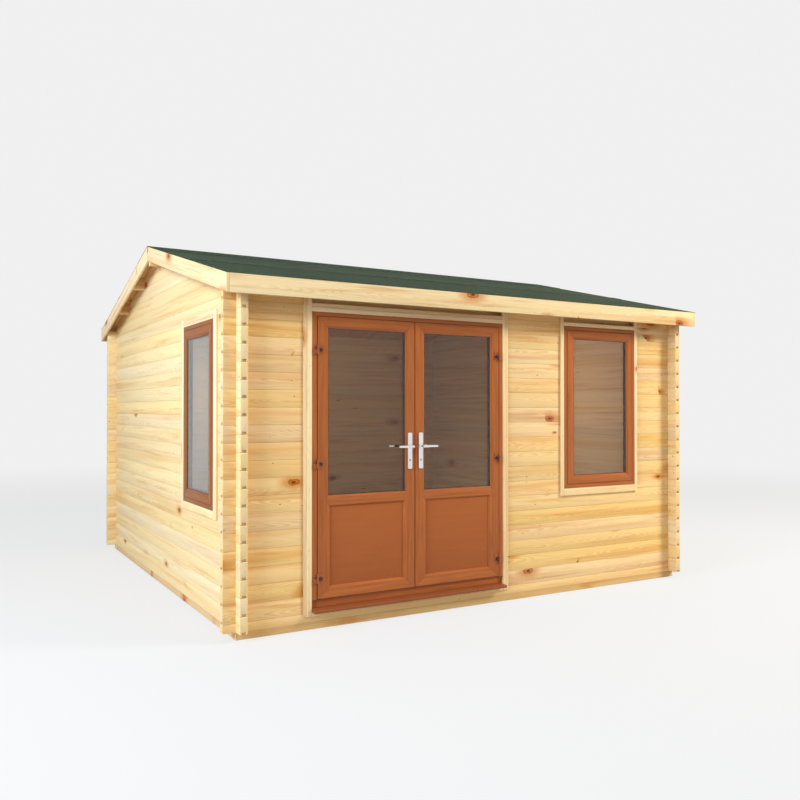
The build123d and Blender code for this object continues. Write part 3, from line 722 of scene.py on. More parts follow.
# Darker copy of the brown foil for the door sill: the darker colours are painted shade under the door
# leaves.
SHADED_SILL_FOIL = Foil("brown sill foil", Slot.PLASTIC, base=linear(150, 84, 46), pore=linear(110, 56, 28))
GLASS = Glass("clear glass", Slot.GLASS)
CHROME = Metal("polished plate", Slot.CHROME)
HINGE = Metal("brown hinge paint", Slot.HINGE, linear(160, 86, 46), 0.0, 0.35)
COVER = Metal("dark hinge cover", Slot.HINGE, linear(66, 34, 24), 0.0, 0.4)
LOCK = Metal("lock cylinder", Slot.CHROME, (0.5, 0.49, 0.46), 1.0, 0.3)
SPACER = Metal("spacer bar", Slot.CHROME, (0.35, 0.34, 0.33), 1.0, 0.45)
SEAL = Rubber("black seal", Slot.PLASTIC)
CLOUT = Metal("galvanised clout nails", Slot.HINGE, (0.34, 0.35, 0.34), 1.0, 0.5)
NAIL = Metal("nail heads", Slot.HINGE, (0.45, 0.44, 0.43), 1.0, 0.35)


# ---------------------------------------------------------------------------------------
# Bench work: the steps that every piece shares
# ---------------------------------------------------------------------------------------


class Bench:
    """Modelling steps on one piece at a time."""

    SMOOTH_ANGLE = math.radians(24)
    WELD = 0.00002
    FLAT_ANGLE = math.radians(0.6)

    @staticmethod
    def pick(*pieces: Piece) -> None:
        """Selects only these pieces and makes the first one active."""
        bpy.ops.object.select_all(action="DESELECT")
        for piece in pieces:
            piece.select_set(True)
        bpy.context.view_layer.objects.active = pieces[0]

    @staticmethod
    @contextmanager
    def editing(piece: Piece, mode: str = "VERT") -> Iterator[None]:
        """Edit mode on a piece.

        Args:
            piece: The piece.
            mode: Whether vertices, edges or faces are selected.

        Yields:
            Nothing, while the piece is being edited.
        """
        Bench.pick(piece)
        bpy.ops.object.mode_set(mode="EDIT")
        bpy.ops.mesh.select_mode(type=mode)
        yield
        bpy.ops.object.mode_set(mode="OBJECT")

    @staticmethod
    def clear(piece: Piece) -> None:
        """Deselects a piece's vertices, edges and faces, in object mode."""
        for parts in (piece.data.vertices, piece.data.edges, piece.data.polygons):
            parts.foreach_set("select", [False] * len(parts))

    @staticmethod
    def choose(piece: Piece, wanted: Callable[[bpy.types.MeshPolygon], bool]) -> None:
        """Selects the faces that pass a test, for the next edit.

        Args:
            piece: The piece, in object mode.
            wanted: The test.
        """
        Bench.clear(piece)
        faces = piece.data.polygons
        faces.foreach_set("select", [bool(wanted(face)) for face in faces])

    @staticmethod
    def choose_edges(piece: Piece, wanted: Callable[[Vector, Vector], bool]) -> None:
        """Selects the edges whose two ends pass a test, for the next edit.

        Args:
            piece: The piece, in object mode.
            wanted: The test of an edge's two ends.
        """
        Bench.clear(piece)
        mesh = piece.data
        for edge in mesh.edges:
            first, second = (mesh.vertices[index].co for index in edge.vertices)
            edge.select = wanted(first, second)

    @staticmethod
    def settle(piece: Piece) -> Piece:
        """Puts a piece's place, turn and size into its mesh."""
        Bench.pick(piece)
        bpy.ops.object.transform_apply(location=True, rotation=True, scale=True)
        return piece

    @staticmethod
    def block(name: str, low: Vector | Triple, high: Vector | Triple) -> Piece:
        """A block between two corners, to be shaped further.

        Args:
            name: The piece's name.
            low: Its lowest corner.
            high: Its highest corner.

        Returns:
            The block.
        """
        low, high = Vector(low), Vector(high)
        bpy.ops.object.select_all(action="DESELECT")
        bpy.ops.mesh.primitive_cube_add(size=1, location=(low + high) / 2)
        piece = bpy.context.object
        piece.name = name
        piece.scale = high - low
        return Bench.settle(piece)

    @staticmethod
    def rod(
        name: str, start: Vector | Triple, end: Vector | Triple, radius: float, sides: int = 24
    ) -> Piece:
        """A round bar between two points, to be shaped further.

        Args:
            name: The piece's name.
            start: The middle of one end.
            end: The middle of the other end.
            radius: The bar's radius.
            sides: How many sides stand for its round.

        Returns:
            The bar.
        """
        start, end = Vector(start), Vector(end)
        bpy.ops.object.select_all(action="DESELECT")
        bpy.ops.mesh.primitive_cylinder_add(
            vertices=sides, radius=radius, depth=(end - start).length, location=(start + end) / 2
        )
        piece = bpy.context.object
        piece.name = name
        piece.rotation_euler = (end - start).to_track_quat("Z", "Y").to_euler()
        return Bench.settle(piece)

    @staticmethod
    def ease(piece: Piece, width: float, steps: int = 2, angle: float = 28.0) -> Piece:
        """Rounds a piece's sharp edges.

        Args:
            piece: The piece.
            width: How wide the rounding is.
            steps: How many faces it has.
            angle: The smallest angle between faces that is rounded, in degrees.

        Returns:
            The same piece.
        """
        Bench.pick(piece)
        bpy.ops.object.modifier_add(type="BEVEL")
        rounding = piece.modifiers[-1]
        rounding.width = width
        rounding.segments = steps
        rounding.limit_method = "ANGLE"
        rounding.angle_limit = math.radians(angle)
        rounding.use_clamp_overlap = False
        rounding.miter_outer = "MITER_ARC"
        bpy.ops.object.modifier_apply(modifier=rounding.name)
        Bench.pick(piece)
        bpy.ops.object.shade_smooth_by_angle(angle=Bench.SMOOTH_ANGLE)
        return piece

    @staticmethod
    def cut(piece: Piece, place: Vector | Triple, outward: Vector | Triple) -> None:
        """Cuts a piece along a plane, drops what lies outward of it and closes the cut.

        Args:
            piece: The piece.
            place: A point on the plane.
            outward: The plane's direction towards what goes.
        """
        with Bench.editing(piece):
            bpy.ops.mesh.select_all(action="SELECT")
            bpy.ops.mesh.bisect(plane_co=place, plane_no=outward, use_fill=True, clear_outer=True)

    @staticmethod
    def join(name: str, pieces: Iterable[Piece]) -> Piece:
        """Makes one piece of several.

        Args:
            name: The name of the whole.
            pieces: What is joined.

        Returns:
            The joined piece.
        """
        pieces = list(pieces)
        Bench.pick(*pieces)
        if len(pieces) > 1:
            bpy.ops.object.join()
        whole = bpy.context.object
        whole.name = name
        return whole

    @staticmethod
    def copy(piece: Piece, name: str, move: Vector | Triple = (0, 0, 0)) -> Piece:
        """Another of a piece, with its own mesh.

        Args:
            piece: What is copied.
            name: The copy's name.
            move: How far the copy is from it.

        Returns:
            The copy.
        """
        Bench.pick(piece)
        bpy.ops.object.duplicate()
        other = bpy.context.object
        other.name = name
        other.location = Vector(move)
        return Bench.settle(other)

    @staticmethod
    def row(first: Piece, count: int, step: Vector | Triple) -> Piece:
        """Repeats a piece in a straight row, as one piece.

        Args:
            first: The first of the row.
            count: How many there are.
            step: From one to the next.

        Returns:
            The row.
        """
        Bench.pick(first)
        bpy.ops.object.modifier_add(type="ARRAY")
        repeat = first.modifiers[-1]
        repeat.count = count
        repeat.use_relative_offset = False
        repeat.use_constant_offset = True
        repeat.constant_offset_displace = step
        bpy.ops.object.modifier_apply(modifier=repeat.name)
        return first

    @staticmethod
    def node_copy(node: str, name: str) -> Piece:
        """A frame node's shape as a new piece, merged and with its flat faces made whole.

        Args:
            node: The frame's node.
            name: The new piece's name.

        Returns:
            The new piece.
        """
        source = bpy.data.objects[node]
        Bench.pick(source)
        bpy.ops.object.duplicate()
        piece = bpy.context.object
        piece.name = name
        piece.parent = None
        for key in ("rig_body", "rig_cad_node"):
            del piece[key]
        piece.data.materials.clear()
        Bench.pick(piece)
        bpy.ops.mesh.customdata_custom_splitnormals_clear()
        with Bench.editing(piece):
            bpy.ops.mesh.select_all(action="SELECT")
            bpy.ops.mesh.remove_doubles(threshold=Bench.WELD)
            bpy.ops.mesh.dissolve_limited(angle_limit=Bench.FLAT_ANGLE)
        return piece


class Grain:
    """Lays each board's own grain on a piece, as attributes that the finishes read."""

    SHIFT = (40.0, 0.03, 0.02)
    END_FACE = 0.6
    slope = math.cos(ROOF_SLOPE), math.sin(ROOF_SLOPE)
    directions = (
        Vector((1, 0, 0)),
        Vector((0, 1, 0)),
        Vector((0, 0, 1)),
        Vector((0, slope[0], slope[1])),
        Vector((0, slope[0], -slope[1])),
        Vector((0, -slope[1], slope[0])),
        Vector((0, slope[1], slope[0])),
    )

    @staticmethod
    def islands(mesh: bpy.types.Mesh) -> np.ndarray:
        """The number of the connected stretch that each vertex belongs to."""
        count = len(mesh.vertices)
        ends = np.empty(2 * len(mesh.edges), dtype=np.int64)
        mesh.edges.foreach_get("vertices", ends)
        ends = ends.reshape(-1, 2)
        label = np.arange(count)
        while True:
            lowest = np.minimum(label[ends[:, 0]], label[ends[:, 1]])
            before = label.copy()
            np.minimum.at(label, ends[:, 0], lowest)
            np.minimum.at(label, ends[:, 1], lowest)
            label = label[label]
            if np.array_equal(before, label):
                return np.unique(label, return_inverse=True)[1]

    @classmethod
    def axes(cls, points: np.ndarray) -> np.ndarray:
        """The directions of a board's length, width and thickness.

        Args:
            points: The board's vertices.

        Returns:
            Three rows: the unit directions.
        """
        spans = [np.ptp(points @ np.array(way)) for way in cls.directions]
        longest = cls.directions[int(np.argmax(spans))]
        across = [
            (span, way)
            for span, way in zip(spans, cls.directions, strict=True)
            if abs(way.dot(longest)) < 0.01
        ]
        thinnest = min(across, key=lambda pair: pair[0])[1]
        return np.array([longest, thinnest.cross(longest), thinnest])

    @classmethod
    def lay(cls, piece: Piece, seed: int) -> Piece:
        """Writes the attributes grain, tone and end on a piece.

        Args:
            piece: The piece, with its modifiers applied.
            seed: What the boards' differences are drawn from.

        Returns:
            The same piece.
        """
        mesh = piece.data
        places = np.empty(3 * len(mesh.vertices))
        mesh.vertices.foreach_get("co", places)
        places = places.reshape(-1, 3)
        normals = np.empty(3 * len(mesh.polygons))
        mesh.polygons.foreach_get("normal", normals)
        normals = normals.reshape(-1, 3)
        firsts = np.array([face.vertices[0] for face in mesh.polygons], dtype=np.int64)
        board = cls.islands(mesh)
        draw = random.Random(seed)
        grain = np.zeros_like(places)
        tone = np.zeros(len(places))
        end = np.zeros(len(normals))
        order = np.argsort([places[board == index, 2].min() for index in range(board.max() + 1)])
        for index in order:
            own = board == index
            axes = cls.axes(places[own])
            offset = np.array([draw.uniform(-reach, reach) for reach in cls.SHIFT])
            middle = places[own].mean(axis=0)
            grain[own] = (places[own] - middle) @ axes.T + offset
            tone[own] = draw.random()
            faces = own[firsts]
            end[faces] = np.abs(normals[faces] @ axes[0]) > cls.END_FACE
        for name, kind, domain, values in (
            ("grain", "FLOAT_VECTOR", "POINT", grain),
            ("tone", "FLOAT", "POINT", tone),
            ("end", "FLOAT", "FACE", end),
        ):
            layer = mesh.attributes.get(name) or mesh.attributes.new(name, kind, domain)
            key = "vector" if kind == "FLOAT_VECTOR" else "value"
            layer.data.foreach_set(key, values.astype(np.float32).ravel())
        return piece


@dataclass
class Assembly:
    """A part of the cabin that builds its own pieces.

    Attributes:
        body: The frame's body that the pieces ride on.
        seed: What the differences between its boards are drawn from.
    """

    body: str = CABIN
    seed: int = 1
    made: list[Piece] = field(default_factory=list)

    def build(self) -> None:
        """Models and dresses every piece; each assembly has its own."""
        raise NotImplementedError

    def dress(self, piece: Piece, finish: Finish, *nodes: str, body: str | None = None) -> Piece:
        """Gives a finished piece its material and its grain, and puts it on its body.

        Args:
            piece: The piece.
            finish: Its finish.
            nodes: The frame's nodes that it stands for.
            body: The body that it rides on, if it isn't the assembly's own.

        Returns:
            The same piece.
        """
        if isinstance(finish, Softwood | Foil):
            self.seed += 1
            Grain.lay(piece, self.seed)
        piece.data.materials.clear()
        piece.data.materials.append(finish.material())
        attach(piece, body or self.body)
        if nodes:
            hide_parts(*nodes)
        self.made.append(piece)
        log.info("%s: %s, %d faces", piece.name, finish.name, len(piece.data.polygons))
        return piece


# ---------------------------------------------------------------------------------------
# The cabin's sub-assemblies
# ---------------------------------------------------------------------------------------


@dataclass
class LogWalls(Assembly):
    """The four walls: eased logs in the place of the frame's plain ones.

    Attributes:
        easing: How wide the rounding of a log's edges is.
        chamfer: How wide the chamfer at a log's end is.
        recess: How far a tongue's end is behind the log's end.
        drip: Height of the step under a log's outer face in the frame.
        joint: Height of the joint that stays between two logs.
    """

    easing: float = 0.0009
    chamfer: float = 0.004
    recess: float = 0.012
    drip: float = 0.004
    joint: float = 0.0013
    seed: int = 100

    PITCH = 0.114
    NEAR = 0.006
    SAME = 0.001
    DRIP_NEAR = 0.0006
    ENDS = ((0, 2.066), (1, 2.036))
    TONGUES = (
        {"lowest": 0.1073, "count": 19, "wall": 1.925, "near": 1.9815},
        {"lowest": 0.1643, "count": 18, "wall": 1.955, "near": 1.9515},
    )
    TONGUE_HEIGHT = 0.0165
    TONGUE_HALF = 0.0146

    NODES = (
        "front_wall_left",
        "front_wall_lower",
        "front_wall_beside_window",
        "front_wall_head",
        "back_wall",
        "left_wall_lower",
        "left_wall_beside_window",
        "left_gable",
        "right_wall",
        "right_gable",
    )

    def build(self) -> None:
        """One piece for each stack of logs, and the tongues in the logs' open ends."""
        for node in self.NODES:
            piece = Bench.node_copy(node, f"{node}_logs")
            self.close_joints(piece)
            for axis, reach in self.ENDS:
                for sign in (-1, 1):
                    self.chamfer_ends(piece, axis, sign, reach)
            Bench.ease(piece, self.easing, 2)
            # The front wall takes the plain logs; the other walls take the copy that is painted paler
            # as if more brightly lit.
            self.dress(piece, LOG if node.startswith("front") else LIT_SIDE_LOG, node)
        self.tongues()

    def close_joints(self, piece: Piece) -> None:
        """Lowers the logs' outer lower edges until only a fine joint shows.

        Args:
            piece: The stack of logs.
        """
        log_number = Grain.islands(piece.data)
        heights = np.array([vertex.co.z for vertex in piece.data.vertices])
        lowest = np.full(log_number.max() + 1, np.inf)
        np.minimum.at(lowest, log_number, heights)
        dripping = np.abs(heights - lowest[log_number] - self.drip) < self.DRIP_NEAR
        Bench.clear(piece)
        piece.data.vertices.foreach_set("select", dripping.tolist())
        with Bench.editing(piece):
            bpy.ops.transform.translate(value=(0, 0, self.joint - self.drip))

    def chamfer_ends(self, piece: Piece, axis: int, sign: int, reach: float) -> None:
        """Chamfers the upper and lower edges of the logs' ends on one side.

        Args:
            piece: The stack of logs.
            axis: 0 for logs along X and 1 for logs along Y.
            sign: Which end of the logs: -1 or 1.
            reach: How far out the ends are.
        """
        if max(sign * vertex.co[axis] for vertex in piece.data.vertices) < reach - self.SAME:
            return
        way = Vector((0, 0, 0))
        way[axis] = sign
        with Bench.editing(piece):
            bpy.ops.mesh.select_all(action="SELECT")
            bpy.ops.mesh.bisect(plane_co=way * (reach - self.chamfer), plane_no=way)
        log_number = Grain.islands(piece.data)
        ends: dict[int, list[tuple[int, float]]] = {}
        for vertex in piece.data.vertices:
            if sign * vertex.co[axis] > reach - self.SAME:
                corner = (vertex.index, vertex.co.z)
                ends.setdefault(int(log_number[vertex.index]), []).append(corner)
        for lower in (True, False):
            chosen = []
            for corners in ends.values():
                heights = [height for _, height in corners]
                edge = min(heights) if lower else max(heights)
                chosen += [index for index, height in corners if abs(height - edge) < self.NEAR]
            Bench.clear(piece)
            for index in chosen:
                piece.data.vertices[index].select = True
            with Bench.editing(piece):
                bpy.ops.transform.translate(value=(0, 0, self.chamfer if lower else -self.chamfer))

    def tongues(self) -> None:
        """The tongues that fill the grooves at the logs' ends, a little behind their faces."""
        parts = []
        for (axis, reach), place in zip(self.ENDS, self.TONGUES, strict=True):
            for sign in (-1, 1):
                ends = sorted((sign * place["near"], sign * (reach - self.recess)))
                for wall_sign in (-1, 1):
                    low = [0.0, 0.0, place["lowest"]]
                    high = [0.0, 0.0, place["lowest"] + self.TONGUE_HEIGHT]
                    low[axis], high[axis] = ends
                    low[1 - axis] = wall_sign * place["wall"] - self.TONGUE_HALF
                    high[1 - axis] = wall_sign * place["wall"] + self.TONGUE_HALF
                    tongue = Bench.ease(Bench.block("tongue", low, high), 0.0015, 2)
                    parts.append(Bench.row(tongue, place["count"], (0, 0, self.PITCH)))
        self.dress(Bench.join("log_end_tongues", parts), LOG)


@dataclass
class Base(Assembly):
    """The bearers under the walls, and the floor laid in separate boards.

    Attributes:
        board: Width that one floor board covers.
        gap: Open joint between two boards.
    """

    board: float = 0.112
    gap: float = 0.0012
    seed: int = 300

    def build(self) -> None:
        """Sawn bearers, then floor boards across them."""
        bearers = Bench.node_copy("base_bearers", "sawn_bearers")
        self.dress(Bench.ease(bearers, 0.0015, 1), ROUGH, "base_bearers")
        low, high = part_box("floor_deck")
        count = round((high.y - low.y) / self.board)
        step = (high.y - low.y) / count
        first = Bench.block("board", low, (high.x, low.y + step - self.gap, high.z))
        Bench.ease(first, 0.0015, 2)
        boards = [first]
        boards += [Bench.copy(first, "board", (0, index * step, 0)) for index in range(1, count)]
        self.dress(Bench.join("floor_boards", boards), FLOOR, "floor_deck")


@dataclass
class Roof(Assembly):
    """Roof beams, boarding, felt and the boards at the roof's edges.

    Attributes:
        board: Width that one roof board covers.
        gap: Open joint between two boards.
        nail_step: Distance between the felt's nails.
    """

    board: float = 0.095
    gap: float = 0.0008
    nail_step: float = 0.15
    seed: int = 400

    FELT = 0.0031
    NAIL_ROWS = ((0.195, 0.0), (0.3378, 0.0), (1.2114, 0.0), (2.085, FELT))
    VERGE_ROWS = ((0.5, 4), (1.35, 5))
    VERGE = 2.078
    NAIL_RADIUS = 0.0048

    def build(self) -> None:
        """Beams first, then boards, felt and edge boards."""
        beams = Bench.node_copy("roof_purlins", "roof_beams")
        self.dress(Bench.ease(beams, 0.002), ROUGH, "roof_purlins")
        for word in ("front", "back"):
            self.boarding(word)
            self.felt(word)
        strip = Bench.node_copy("ridge_felt", "ridge_felt_strip")
        self.dress(Bench.ease(strip, 0.001, 2), FELT, "ridge_felt")
        for node in ("fascia_boards", "left_barge_boards", "right_barge_boards"):
            piece = Bench.node_copy(node, f"planed_{node}")
            self.dress(Bench.ease(piece, 0.003, 3), EDGE, node)
        self.felt_nails()

    def felt_nails(self) -> None:
        """Clout nails along the felt's laps, its lower edges and its ends."""
        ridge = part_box("ridge_felt")[1]
        rise = math.tan(ROOF_SLOPE)
        rows = []
        for side in (-1, 1):
            normal = Vector((0, side * math.sin(ROOF_SLOPE), math.cos(ROOF_SLOPE)))
            for reach, lower in self.NAIL_ROWS:
                start = Vector((-self.VERGE, side * reach, ridge.z - reach * rise - lower))
                count = round(2 * self.VERGE / self.nail_step) + 1
                step = Vector((2 * self.VERGE / (count - 1), 0, 0))
                rows.append(self.nail_row(start, normal, count, step))
            slope = Vector((0, side * math.cos(ROOF_SLOPE), -math.sin(ROOF_SLOPE)))
            for end in (-self.VERGE, self.VERGE):
                for reach, count in self.VERGE_ROWS:
                    start = Vector((end, side * reach, ridge.z - reach * rise - self.FELT))
                    rows.append(self.nail_row(start, normal, count, slope * self.nail_step))
        self.dress(Bench.join("felt_nails", rows), CLOUT)

    @staticmethod
    def nail_row(start: Vector, normal: Vector, count: int, step: Vector) -> Piece:
        """A row of flat nail heads.

        Args:
            start: Where the first one is.
            normal: The direction that they face.
            count: How many there are.
            step: From one to the next.

        Returns:
            The row.
        """
        back, front = start - 0.0004 * normal, start + 0.0012 * normal
        head = Bench.rod("nail", back, front, Roof.NAIL_RADIUS, 9)
        return Bench.row(Bench.ease(head, 0.0006, 1, 50), count, step)

    def boarding(self, word: str) -> None:
        """The boards of one slope, side by side along the roof.

        Args:
            word: Which slope: front or back.
        """
        node = f"{word}_roof_boards"
        low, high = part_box(node)
        count = round((high.x - low.x) / self.board)
        step = (high.x - low.x) / count
        first = Bench.node_copy(node, "board")
        Bench.cut(first, (low.x + step - self.gap, 0, 0), (1, 0, 0))
        Bench.ease(first, 0.002, 2)
        boards = [first]
        boards += [Bench.copy(first, "board", (index * step, 0, 0)) for index in range(1, count)]
        self.dress(Bench.join(f"{word}_boarding", boards), ROOF, node)

    def felt(self, word: str) -> None:
        """The felt of one slope, with its strips laid over each other.

        Args:
            word: Which slope: front or back.
        """
        node = f"{word}_felt"
        piece = Bench.node_copy(node, f"{node}_strips")
        self.dress(Bench.ease(piece, 0.001, 2), FELT, node)


@dataclass(frozen=True)
class WallFace:
    """A wall's outer face, on which places are given as along, up and out.

    Attributes:
        corner: The world place where along, up and out are 0.
        along: Direction to the right, as seen from outside.
        outward: Direction away from the room.
    """

    corner: Triple
    along: Triple
    outward: Triple

    def way(self, along: float, up: float, out: float) -> Vector:
        """A direction on the wall, in the frame's axes."""
        return along * Vector(self.along) + up * Vector((0, 0, 1)) + out * Vector(self.outward)

    def place(self, along: float, up: float, out: float) -> Vector:
        """A place on the wall, in the frame's axes."""
        return Vector(self.corner) + self.way(along, up, out)

    def block(self, low: Triple, high: Triple, name: str = "member") -> Piece:
        """A block between two places on the wall.

        Args:
            low: Its lowest along, up and out.
            high: Its highest along, up and out.
            name: The block's name.

        Returns:
            The block.
        """
        pairs = list(zip(self.place(*low), self.place(*high), strict=True))
        return Bench.block(name, [min(pair) for pair in pairs], [max(pair) for pair in pairs])

    def around(self, node: str) -> "Rim":
        """The outline of a frame's node on the wall."""
        ends = [corner - Vector(self.corner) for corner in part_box(node)]
        across = sorted(end.dot(Vector(self.along)) for end in ends)
        return Rim(across[0], ends[0].z, across[1], ends[1].z)


@dataclass(frozen=True)
class Rim:
    """A rectangle on a wall: the outer edge of a ring of members."""

    left: float
    bottom: float
    right: float
    top: float

    def inset(self, *by: float) -> "Rim":
        """The rectangle moved in, by one width or by those of bottom, top, left and right."""
        bottom, top, left, right = by if len(by) == 4 else by * 4
        return Rim(self.left + left, self.bottom + bottom, self.right - right, self.top - top)


@dataclass(frozen=True)
class Section:
    """The section of a ring's members.

    Attributes:
        back: Where the members start, outward of the wall's face.
        front: Where they end.
        slopes: Planes that shape them: a point across and out, and the direction across
            and out of what goes. Across is counted from the ring's outer edge inwards.
        easing: How wide the rounding of the edges is.
    """

    back: float
    front: float
    slopes: tuple[tuple[float, float, float, float], ...] = ()
    easing: float = 0.0008

    def turned(self) -> "Section":
        """The same section on the room's side of a leaf or sash, mirrored in its middle."""
        slopes = tuple((across, -out, way, -outward) for across, out, way, outward in self.slopes)
        return Section(-self.front, -self.back, slopes, self.easing)


class Joiner:
    """Makes frames, sashes and leaves from mitred members."""

    INWARD = ((0, 1), (0, -1), (1, 0), (-1, 0))
    MITRE = 0.00015

    @classmethod
    def ring(cls, wall: WallFace, rim: Rim, widths: Iterable[float], section: Section) -> list[Piece]:
        """Members round an opening, mitred where two of them meet.

        Args:
            wall: The wall that they stand in.
            rim: The ring's outer edge.
            widths: Widths of the bottom, top, left and right members; 0 leaves one out.
            section: The section of the members.

        Returns:
            The members.
        """
        widths = list(widths)
        sides = list(zip(cls.INWARD, widths, strict=True))
        members = []
        for number, (inward, width) in enumerate(sides):
            if not width:
                continue
            low, high = [rim.left, rim.bottom], [rim.right, rim.top]
            axis = 0 if inward[0] else 1
            outer = low[axis] if inward[axis] > 0 else high[axis]
            if inward[axis] > 0:
                high[axis] = outer + width
            else:
                low[axis] = outer - width
            piece = wall.block((*low, section.back), (*high, section.front))
            for other, (across, next_width) in enumerate(sides):
                if other // 2 == number // 2 or not next_width:
                    continue
                corner = [0.0, 0.0]
                corner[axis] = outer
                ends = (rim.left, rim.right) if axis else (rim.bottom, rim.top)
                corner[1 - axis] = ends[0] if across[1 - axis] > 0 else ends[1]
                way = Vector(
                    (
                        inward[0] * next_width - across[0] * width,
                        inward[1] * next_width - across[1] * width,
                    )
                ).normalized()
                corner = Vector(corner) - cls.MITRE * way
                Bench.cut(piece, wall.place(corner.x, corner.y, 0), wall.way(way.x, way.y, 0))
            for start, out, run, outward in section.slopes:
                point = [(rim.left + rim.right) / 2, (rim.bottom + rim.top) / 2]
                point[axis] = outer + inward[axis] * start
                way = wall.way(inward[0] * run, inward[1] * run, outward).normalized()
                Bench.cut(piece, wall.place(*point, out), way)
            members.append(Bench.ease(piece, section.easing, 2))
        return members


FRONT = WallFace((0.0, -1.95, 0.0), (1.0, 0.0, 0.0), (0.0, -1.0, 0.0))
LEFT = WallFace((-1.98, 0.0, 0.0), (0.0, -1.0, 0.0), (-1.0, 0.0, 0.0))

HINGE_EASING = 0.0007
FOIL_EASING = 0.0014
FLAT_BEAD = 0.016
GLASS_FACE = 0.0118
PANE = 0.004
SHY = 0.0002
BEAD = Section(0.0123, 0.0186, ((0.0, 0.0186, 0.0052, 0.016),))
GASKET = Section(0.0119, 0.0136, easing=0.0005)


class Glazing:
    """What glazed sashes and leaves share: beads, gaskets, panes and spacer bars."""

    GASKET_LAP = 0.0034
    GASKET_WIDTH = 0.0056
    SPACER_WIDTH = 0.0132

    @staticmethod
    def beads(wall: WallFace, light: Rim) -> list[Piece]:
        """The sloping beads that hold the glass, outside and on the room's side.

        Args:
            wall: The wall that the opening is in.
            light: The edge of the glass that shows.

        Returns:
            The beads.
        """
        rim = light.inset(-FLAT_BEAD)
        widths = [FLAT_BEAD] * 4
        return Joiner.ring(wall, rim, widths, BEAD) + Joiner.ring(wall, rim, widths, BEAD.turned())

    @staticmethod
    def gaskets(wall: WallFace, light: Rim) -> list[Piece]:
        """The black seals between beads and glass."""
        rim = light.inset(-Glazing.GASKET_LAP)
        widths = [Glazing.GASKET_WIDTH] * 4
        return Joiner.ring(wall, rim, widths, GASKET) + Joiner.ring(wall, rim, widths, GASKET.turned())

    @staticmethod
    def panes(wall: WallFace, rim: Rim) -> list[Piece]:
        """Two panes with their arrises taken off."""
        made = []
        for back in (-GLASS_FACE, GLASS_FACE - PANE):
            pane = wall.block((rim.left, rim.bottom, back), (rim.right, rim.top, back + PANE), "pane")
            made.append(Bench.ease(pane, 0.0004, 1))
        return made

    @staticmethod
    def spacer(wall: WallFace, rim: Rim) -> list[Piece]:
        """The metal bar that keeps the two panes apart."""
        half = GLASS_FACE - PANE - 0.0001
        section = Section(-half, half, easing=0.0006)
        return Joiner.ring(wall, rim.inset(0.001), [Glazing.SPACER_WIDTH] * 4, section)


@dataclass
class Window(Assembly):
    """A plastic window: a frame in the wall, and a glazed sash inside it.

    Attributes:
        word: What the window's nodes start with.
        wall: The wall that it stands in.
        foil: The finish of its frame and sash.
        hidden: How much of the frame the trim covers.
        frame_face: Width of the frame that shows.
        flat: Width of the sash's flat, up to the bead.
    """

    word: str = "front_window"
    wall: WallFace = FRONT
    foil: Foil = FOIL
    hidden: float = 0.008
    frame_face: float = 0.033
    flat: float = 0.054

    FRAME_BACK = Section(-0.0497, -0.0002)
    FRAME_FRONT = Section(0.0, 0.016, ((0.029, 0.016, 1.0, 1.0),), FOIL_EASING)
    SASH = Section(-0.02, 0.02, ((0.0, 0.0158, -1.0, 1.0),), FOIL_EASING)
    SEAL_STRIP = Section(-0.01, 0.0098, easing=0.0005)

    def build(self) -> None:
        """Frame, sash with its beads, seals, glass and spacer bar."""
        word, wall = self.word, self.wall
        rim = wall.around(f"{word}_frame")
        face = rim.inset(self.hidden + SHY)
        members = Joiner.ring(wall, rim, [self.hidden + self.frame_face] * 4, self.FRAME_BACK)
        members += Joiner.ring(wall, face, [self.frame_face - 2 * SHY] * 4, self.FRAME_FRONT)
        self.dress(Bench.join(f"{word}_frame_members", members), self.foil, f"{word}_frame")
        sash = wall.around(f"{word}_sash")
        light = sash.inset(self.flat + FLAT_BEAD)
        members = Joiner.ring(wall, sash, [self.flat] * 4, self.SASH)
        members += Glazing.beads(wall, light)
        self.dress(Bench.join(f"{word}_sash_members", members), self.foil, f"{word}_sash")
        seals = Glazing.gaskets(wall, light)
        seals += Joiner.ring(wall, sash.inset(-0.0006), [0.0028] * 4, self.SEAL_STRIP)
        self.dress(Bench.join(f"{word}_seals", seals), SEAL)
        glass = wall.around(f"{word}_glass")
        self.dress(Bench.join(f"{word}_panes", Glazing.panes(wall, glass)), GLASS, f"{word}_glass")
        self.dress(Bench.join(f"{word}_spacer", Glazing.spacer(wall, glass)), SPACER)


